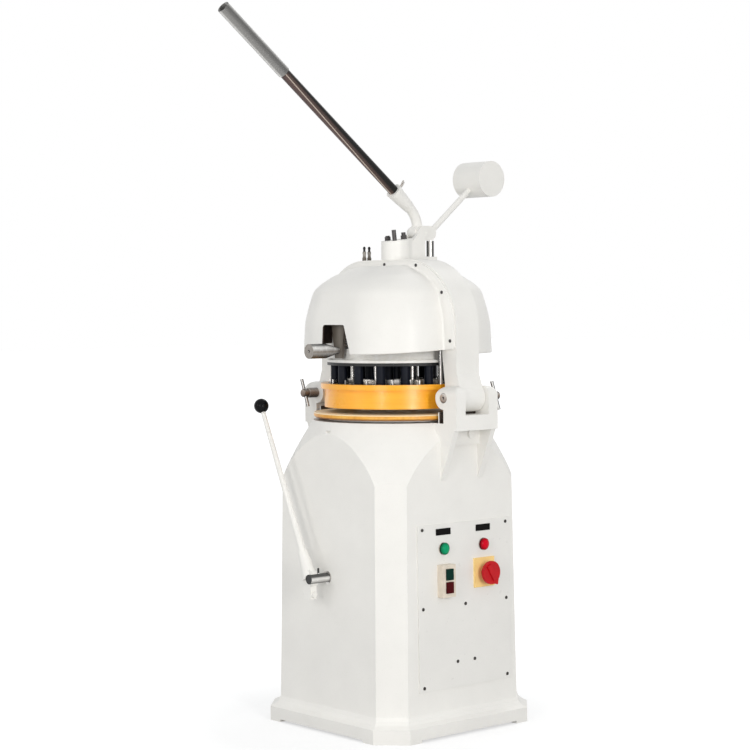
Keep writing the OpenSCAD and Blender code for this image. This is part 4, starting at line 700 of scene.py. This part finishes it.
def dome_shell(put, profile, low):
    """Net of a pressed dome with a rolled lip, closed on the yoke's side."""
    outer, inner = [], []
    for inset, rise in profile:
        z = RIM_Z + rise
        if z < low + COVER_T:
            continue
        thin = COVER_T * inset / DOME_INSET
        outer.append([put(x, v, z) for x, v in dome_line(DOME_HALF - inset, DOME_DEPTH - inset)])
        inner.append([put(x, v, z - thin) for x, v in
                      dome_line(DOME_HALF - inset - COVER_T, DOME_DEPTH - inset - COVER_T)])
    lip = []
    for a in np.linspace(0, math.pi, LIP_ROWS):
        cut = COVER_T / 2 * (1 - math.cos(a))
        z = low + COVER_T / 2 * (1 - math.sin(a))
        lip.append([put(x, v, z) for x, v in dome_line(DOME_HALF - cut, DOME_DEPTH - cut)])
    rows = outer[::-1] + lip + inner
    verts, faces = strip(rows)
    n, m = len(rows[0]), len(rows)
    faces.append(tuple(range(n)))
    faces.append(tuple((m - 1) * n + j for j in range(n)))
    for j in (0, n - 1):
        for i in range(m // 2):
            a, b = i * n + j, (i + 1) * n + j
            c, d = (m - 2 - i) * n + j, (m - 1 - i) * n + j
            if b <= c:
                faces.append((a, b, c, d) if b != c else (a, b, d))
    faces.append((0, n - 1, m * n - 1, (m - 1) * n))
    return verts, faces


def cover(front, drop, stands_for):
    """Pressed dome with a screwed flange and a cove between them, before or behind the yoke."""
    put = placed_on_yoke(front)
    low = RIM_Z - drop
    profile = eased([(a * DOME_INSET, b * DOME_H) for a, b in zip(RUN, RISE)], DOME_ROWS)
    name = "front_dome" if front else "rear_dome"
    shell = build(name, *dome_shell(put, profile, low), M["white"], "base", stands_for, DOME_SMOOTH)

    foot_x, foot_z = FLANGE_HALF - FLANGE_FOOT_R, low + FLANGE_FOOT_R
    arc = [(foot_x + FLANGE_FOOT_R * math.sin(a), foot_z - FLANGE_FOOT_R * math.cos(a))
           for a in quarter(FOOT_POINTS)]
    arc += [(FLANGE_HALF - FLANGE_R + FLANGE_R * math.cos(a), FLANGE_R_Z + FLANGE_R * math.sin(a))
            for a in quarter(ARC_POINTS)]
    rim = even(arc + mirrored(arc), FLANGE_POINTS)
    foot = [(DOME_HALF - inset, RIM_Z + rise) for inset, rise in profile]
    foot = [(DOME_HALF, low)] + foot if drop else foot
    foot = even(foot + mirrored(foot), FLANGE_POINTS)
    rim_out, foot_out = outward(rim), outward(foot)

    def rim_row(off, v):
        return [put(x, v, z) for x, z in rim + rim_out * off]

    def foot_row(off, v):
        return [put(x, v, z) for x, z in foot + foot_out * off]

    rows = [foot_row(TUCK, FLANGE_T), rim_row(-FLANGE_EDGE, FLANGE_T),
            rim_row(-EDGE_MID, FLANGE_T - EDGE_MID), rim_row(0, FLANGE_T - FLANGE_EDGE),
            rim_row(0, HAIRLINE), foot_row(TUCK, HAIRLINE)]
    flange = strip(rows, closed=True, capped=True)
    build(name.replace("dome", "flange"), *flange, M["white"], "base")
    rows = [foot_row(COVE_R * (1 - math.sin(a)), FLANGE_T - HAIRLINE + COVE_R * (1 - math.cos(a)))
            for a in quarter(COVE_ROWS)]
    rows.append(foot_row(TUCK, FLANGE_T))
    cove = strip(rows, closed=True, capped=True)
    build(name.replace("dome", "cove"), *cove, M["white"], "base")
    return shell


# Notch for the knife handle: its sides at the top, its leaning right side, corners and cutter
NOTCH_LEFT, NOTCH_RIGHT, NOTCH_TOP, NOTCH_R = -0.0540, 0.0435, RIM_Z + 0.077, 0.009
NOTCH_LEAN, NOTCH_SLOPE_H = 20, 0.073
NOTCH_UNDER, NOTCH_Y, NOTCH_POINTS = 0.04, (-0.32, -0.15), 8


def cut_notch(shell):
    """Notch with rounded inner corners, cut through the front wall."""
    lean = math.tan(math.radians(NOTCH_LEAN))
    r, top = NOTCH_R, NOTCH_TOP - NOTCH_R
    left, right_in = NOTCH_LEFT + r, NOTCH_RIGHT - r
    line = [(NOTCH_LEFT, RIM_Z - NOTCH_UNDER)]
    line += [(left - r * math.cos(a), top + r * math.sin(a)) for a in quarter(NOTCH_POINTS)]
    line += [(right_in + r * math.sin(a), top + r * math.cos(a))
             for a in np.linspace(0, math.radians(90 - NOTCH_LEAN), NOTCH_POINTS)]
    line += [(NOTCH_RIGHT + NOTCH_SLOPE_H * lean, RIM_Z),
             (NOTCH_RIGHT + (NOTCH_SLOPE_H + NOTCH_UNDER) * lean, RIM_Z - NOTCH_UNDER)]
    n = len(line)
    verts = [(x, y + AXIS.y, z) for y in NOTCH_Y for x, z in line]
    faces = [tuple(range(n)), tuple(range(2 * n - 1, n - 1, -1))]
    faces += [(j, n + j, n + (j + 1) % n, (j + 1) % n) for j in range(n)]
    mesh = bpy.data.meshes.new("notch")
    mesh.from_pydata(verts, [], faces)
    with_outward_normals(mesh)
    tool = bpy.data.objects.new("notch", mesh)
    scene.collection.objects.link(tool)
    mod = shell.modifiers.new("notch", "BOOLEAN")
    mod.object = tool
    mod.solver = "EXACT"
    bpy.context.view_layer.update()
    depsgraph = bpy.context.evaluated_depsgraph_get()
    done = bpy.data.meshes.new_from_object(shell.evaluated_get(depsgraph))
    shell.modifiers.clear()
    shell.data = done
    bpy.data.objects.remove(tool)
    done.set_sharp_from_angle(angle=math.radians(DOME_SMOOTH))


# Inner dome faces look towards the middle of the rim by at least this reach, and start above it
INNER_REACH, INNER_OVER = -0.02, 0.004


def shade_inside(shell, front):
    """Painted shade: a dark material on the inner faces of a dome."""
    mesh = shell.data
    mesh.materials.append(M["painted_shade"])
    core = Vector((0, AXIS.y + (YOKE_FRONT if front else YOKE_REAR), RIM_Z))
    for f in mesh.polygons:
        if f.normal.dot(f.center - core) < INNER_REACH and f.center.z > RIM_Z + INNER_OVER:
            f.material_index = 1


front_dome = cover(True, 0, ["front_cover"])
cut_notch(front_dome)
shade_inside(front_dome, True)
shade_inside(cover(False, REAR_DROP, ["rear_cover"]), False)


def lathe(profile, turns=40):
    """Rows of a turned shape about local Y; a radius is a number or a function of the angle."""
    rows = []
    for r, y in profile:
        row = []
        for k in range(turns + 1):
            a = 2 * math.pi * k / turns
            rr = r(a) if callable(r) else r
            row.append((rr * math.cos(a), y, rr * math.sin(a)))
        rows.append(row)
    return rows


# Saddle pins: place about the press axis, mirror of the left one, thread, and turned ends
PIN_X, PIN_Z, PIN_MIRROR, PIN_SMOOTH = 0.287, 0.977, 0.010, 60
THREAD_CREST, THREAD_ROOT, THREAD_FLANK = 0.0153, 0.0131, 0.8
THREAD_FROM, THREAD_TO, THREAD_STEP = 0.0850, 0.1222, 0.00045
PIN_NOSE = [(0.0002, -0.0745), (0.0042, -0.0772), (0.0046, -0.0780), (0.0122, -0.0780),
            (0.0145, -0.0764), (0.0145, 0.0840)]
PIN_HEAD = [(0.0118, 0.1226), (0.0118, 0.1236), (0.0124, 0.1242), (0.0124, 0.1400),
            (0.0108, 0.1415), (0.0002, 0.1415)]


def pin_screw(side, name, body, node):
    """Saddle pin: centre-drilled nose, plain shank, cut thread and a head for the tommy bar."""
    def thread_radius(y):
        def radius(a):
            w = (y / THREAD_PITCH - a / (2 * math.pi)) % 1.0
            return THREAD_ROOT + (THREAD_CREST - THREAD_ROOT) * (1 - abs(2 * w - 1)) ** THREAD_FLANK
        return radius

    thread = [(thread_radius(y), y) for y in np.arange(THREAD_FROM, THREAD_TO, THREAD_STEP)]
    verts, faces = strip(lathe(PIN_NOSE + thread + PIN_HEAD))
    verts = [(x + PIN_X, y, z + PIN_Z) for x, y, z in verts]
    if side < 0:
        verts = [(-x, PIN_MIRROR - y, z) for x, y, z in verts]
    build(name, verts, faces, M["pin"], body, [node], PIN_SMOOTH)


pin_screw(1, "threaded_pin_right", "right_pin", "pin_screw_right")
pin_screw(-1, "threaded_pin_left", "left_pin", "pin_screw_left")


def islands(name):
    """Vertex clouds of the separate solids in one CAD node."""
    mesh = nodes[name].data
    co = np.empty(len(mesh.vertices) * 3)
    mesh.vertices.foreach_get("co", co)
    co = co.reshape(-1, 3)
    keys = {}
    root = list(range(len(co)))

    def find(i):
        while root[i] != i:
            root[i] = root[root[i]]
            i = root[i]
        return i

    for i, p in enumerate(np.round(co, WELD_DECIMALS)):
        k = tuple(p)
        if k in keys:
            root[find(i)] = find(keys[k])
        else:
            keys[k] = i
    for e in mesh.edges:
        a, b = e.vertices
        root[find(a)] = find(b)
    groups = {}
    for i in range(len(co)):
        groups.setdefault(find(i), []).append(i)
    return [co[g] for g in groups.values()]


# Screw heads: size, slot width and floor, height of the side, turns of the slots
HEAD_R, HEAD_H, HEAD_SMOOTH = 0.005, 0.0026, 50
SLOT_HALF, SLOT_FLOOR, HEAD_SIDE, HEAD_CURVE = 0.13, 0.45, 0.35, 2.6
SLOT_TURN, SLOT_NEXT = 0.6, 1.9
# Net of a head: shares of the radius across the slot, and of the reach along it
HEAD_ACROSS = [(-0.999, False), (-0.93, False), (-0.78, False), (-0.5, False),
               (-SLOT_HALF, False), (-SLOT_HALF, True), (SLOT_HALF, True), (SLOT_HALF, False),
               (0.5, False), (0.78, False), (0.93, False), (0.999, False)]
HEAD_ALONG = (-1, -1, -0.94, -0.78, -0.45, 0, 0.45, 0.78, 0.94, 1, 1)
# Points of a screw this close to its outermost one lie on its top
TOP_WITHIN = 1e-4
# The electrical panel leans back a little
PANEL_OUT = (1, 0, 0.0125)


def slotted_head(center, out, slot_turn):
    """Domed screw head with a cut slot, standing on a face."""
    out = Vector(out).normalized()
    side = Vector(Z).cross(out).normalized()
    rise = out.cross(side)
    c, s = math.cos(slot_turn), math.sin(slot_turn)
    u, v = c * side + s * rise, -s * side + c * rise
    rows = []
    for share, in_slot in HEAD_ACROSS:
        x = share * HEAD_R
        reach = math.sqrt(max(0, HEAD_R * HEAD_R - x * x))
        row = []
        for t in HEAD_ALONG:
            y = t * reach
            d = math.hypot(x, y) / HEAD_R
            z = HEAD_SIDE + (1 - HEAD_SIDE) * math.sqrt(max(0, 1 - d ** HEAD_CURVE))
            row.append([x, y, HEAD_H * (SLOT_FLOOR if in_slot else z)])
        row[0][2] = row[-1][2] = 0.0
        rows.append([tuple(Vector(center) + u * a + v * b + out * e) for a, b, e in row])
    return strip(rows)


def screw_heads(node, name, facing, mat):
    """Slotted heads in place of the plain screws of a node."""
    nets = []
    for k, cloud in enumerate(islands(node)):
        out = np.array(facing(cloud.mean(0)), float)
        out /= np.linalg.norm(out)
        d = cloud @ out
        top = cloud[d > d.max() - TOP_WITHIN]
        center = top.mean(0) - out * HEAD_H - np.array(AXIS)
        nets.append(slotted_head(center, out, SLOT_TURN + SLOT_NEXT * k))
    build(name, *joined(nets), mat, "base", [node], HEAD_SMOOTH)


screw_heads("panel_screws", "panel_screw_heads", lambda p: PANEL_OUT, M["screw"])
screw_heads("cover_screws", "cover_screw_heads",
            lambda p: (0, -1 if p[1] < AXIS.y else 1, 0), M["dark"])

# Radius of a grease nipple by its share of the height
NIPPLE = [(0.0002, 0.0), (0.0062, 0.0), (0.0064, 0.03), (0.0064, 0.20), (0.0058, 0.22),
          (0.0050, 0.24), (0.0047, 0.44), (0.0056, 0.47), (0.0056, 0.60), (0.0040, 0.65),
          (0.0034, 0.72), (0.0036, 0.80), (0.0043, 0.84), (0.0041, 0.92), (0.0024, 0.985),
          (0.0002, 1.0)]
NIPPLE_TURNS, NIPPLE_SMOOTH = 24, 35


def grease_nipples(node):
    """Turned grease nipples with a stepped foot, a waist and a ball seat, on the head."""
    nets = []
    for cloud in islands(node):
        lo, hi = cloud.min(0), cloud.max(0)
        mid = (lo + hi) / 2 - np.array(AXIS)
        tall = hi[2] - lo[2]
        verts, faces = strip(lathe([(r, y * tall) for r, y in NIPPLE], NIPPLE_TURNS))
        nets.append(([(x + mid[0], z + mid[1], y + lo[2]) for x, y, z in verts], faces))
    build("grease_nipples", *joined(nets), M["nipple"], "base", [node], NIPPLE_SMOOTH)


grease_nipples("oilers")

# ---------------------------------------------------------------- stage
FLOOR_SIZE, FLOOR_GRAIN = 80, 3
FLOOR_DARK, FLOOR_LIGHT = (0.50, 0.50, 0.50, 1), (0.52, 0.52, 0.52, 1)
# Near the plinth the floor keeps its shadow; farther out it turns white
FLOOR_NEAR, FLOOR_FAR = 0.45, 1.3
GLOW_NEAR, GLOW_FAR = 0.55, 0.85
ROOM_COLOR, ROOM_LIGHT = (0.96, 0.98, 1.0, 1), 0.64
BACKDROP_COLOR, BACKDROP_LIGHT = (1, 1, 1, 1), 1.0


def looked_at(tree):
    """1 for what a camera, glossy or transmission ray meets, 0 for the light on other surfaces."""
    path = tree.nodes.new("ShaderNodeLightPath")
    seen = path.outputs["Is Camera Ray"]
    for kind in ("Is Glossy Ray", "Is Transmission Ray"):
        most = tree.nodes.new("ShaderNodeMath")
        most.operation = "MAXIMUM"
        tree.links.new(seen, most.inputs[0])
        tree.links.new(path.outputs[kind], most.inputs[1])
        seen = most.outputs[0]
    return seen


def pale_floor():
    """Pale floor that takes the shadow near the object and is white farther out."""
    mat = bpy.data.materials.new("floor_pale")
    mat.use_nodes = True
    t = mat.node_tree
    t.nodes.clear()
    spot = t.nodes.new("ShaderNodeNewGeometry")
    reach = t.nodes.new("ShaderNodeVectorMath")
    reach.operation = "LENGTH"
    spread = t.nodes.new("ShaderNodeMapRange")
    spread.inputs["From Min"].default_value = FLOOR_NEAR
    spread.inputs["From Max"].default_value = FLOOR_FAR
    spread.inputs["To Min"].default_value = GLOW_NEAR
    spread.inputs["To Max"].default_value = GLOW_FAR
    t.links.new(spot.outputs["Position"], reach.inputs[0])
    t.links.new(reach.outputs["Value"], spread.inputs["Value"])
    level = t.nodes.new("ShaderNodeMath")
    level.operation = "MULTIPLY"
    t.links.new(looked_at(t), level.inputs[0])
    t.links.new(spread.outputs["Result"], level.inputs[1])
    glow = t.nodes.new("ShaderNodeEmission")
    t.links.new(level.outputs[0], glow.inputs["Strength"])
    grain = t.nodes.new("ShaderNodeTexNoise")
    grain.inputs["Scale"].default_value = FLOOR_GRAIN
    pale = t.nodes.new("ShaderNodeValToRGB")
    pale.color_ramp.elements[0].color = FLOOR_DARK
    pale.color_ramp.elements[1].color = FLOOR_LIGHT
    t.links.new(grain.outputs["Fac"], pale.inputs["Fac"])
    matt = t.nodes.new("ShaderNodeBsdfDiffuse")
    t.links.new(pale.outputs["Color"], matt.inputs["Color"])
    both = t.nodes.new("ShaderNodeAddShader")
    t.links.new(matt.outputs[0], both.inputs[0])
    t.links.new(glow.outputs[0], both.inputs[1])
    out = t.nodes.new("ShaderNodeOutputMaterial")
    t.links.new(both.outputs[0], out.inputs["Surface"])
    return mat


def stage_plane(name, size):
    """A level square on the ground, kept out of the object."""
    bpy.ops.mesh.primitive_plane_add(size=1, location=(0, 0, 0))
    o = bpy.context.object
    o.name = name
    o.scale = (size, size, 1)
    return o


def studio_world():
    """Soft grey room for the light, white where it is looked at."""
    world = bpy.data.worlds.new("studio")
    world.use_nodes = True
    t = world.node_tree
    t.nodes.clear()
    mix = t.nodes.new("ShaderNodeMixShader")
    t.links.new(looked_at(t), mix.inputs["Fac"])
    looks = ((ROOM_COLOR, ROOM_LIGHT), (BACKDROP_COLOR, BACKDROP_LIGHT))
    for socket, (color, light) in enumerate(looks, 1):
        ground = t.nodes.new("ShaderNodeBackground")
        ground.inputs["Color"].default_value = color
        ground.inputs["Strength"].default_value = light
        t.links.new(ground.outputs[0], mix.inputs[socket])
    out = t.nodes.new("ShaderNodeOutputWorld")
    t.links.new(mix.outputs[0], out.inputs["Surface"])
    return world


stage_plane("floor", FLOOR_SIZE).data.materials.append(pale_floor())
scene.world = studio_world()

LAMP_TONE, LAMP_AIM = (1, 0.985, 0.96), 1.0


def lamp(name, turn, distance, height, size, power):
    """Soft strip at an angle beside the camera, aimed at the middle of the machine."""
    light = bpy.data.lights.new(name, "AREA")
    light.shape = "RECTANGLE"
    light.size, light.size_y = size
    light.energy = power
    light.color = LAMP_TONE
    o = bpy.data.objects.new(name, light)
    ang = AZ + math.radians(turn)
    o.location = AXIS + Vector((math.sin(ang) * distance, -math.cos(ang) * distance, height))
    aim = AXIS + Vector((0, 0, LAMP_AIM)) - o.location
    o.rotation_euler = aim.to_track_quat("-Z", "Y").to_euler()
    scene.collection.objects.link(o)


lamp("key_left", turn=-24, distance=4.9, height=1.5, size=(0.5, 2.2), power=39)
lamp("key_right", turn=24, distance=4.9, height=1.5, size=(0.5, 2.2), power=84)
lamp("fill", turn=-62, distance=4.5, height=2.0, size=(1.6, 2.2), power=26)
lamp("top", turn=150, distance=3.0, height=4.2, size=(2.2, 2.2), power=28)
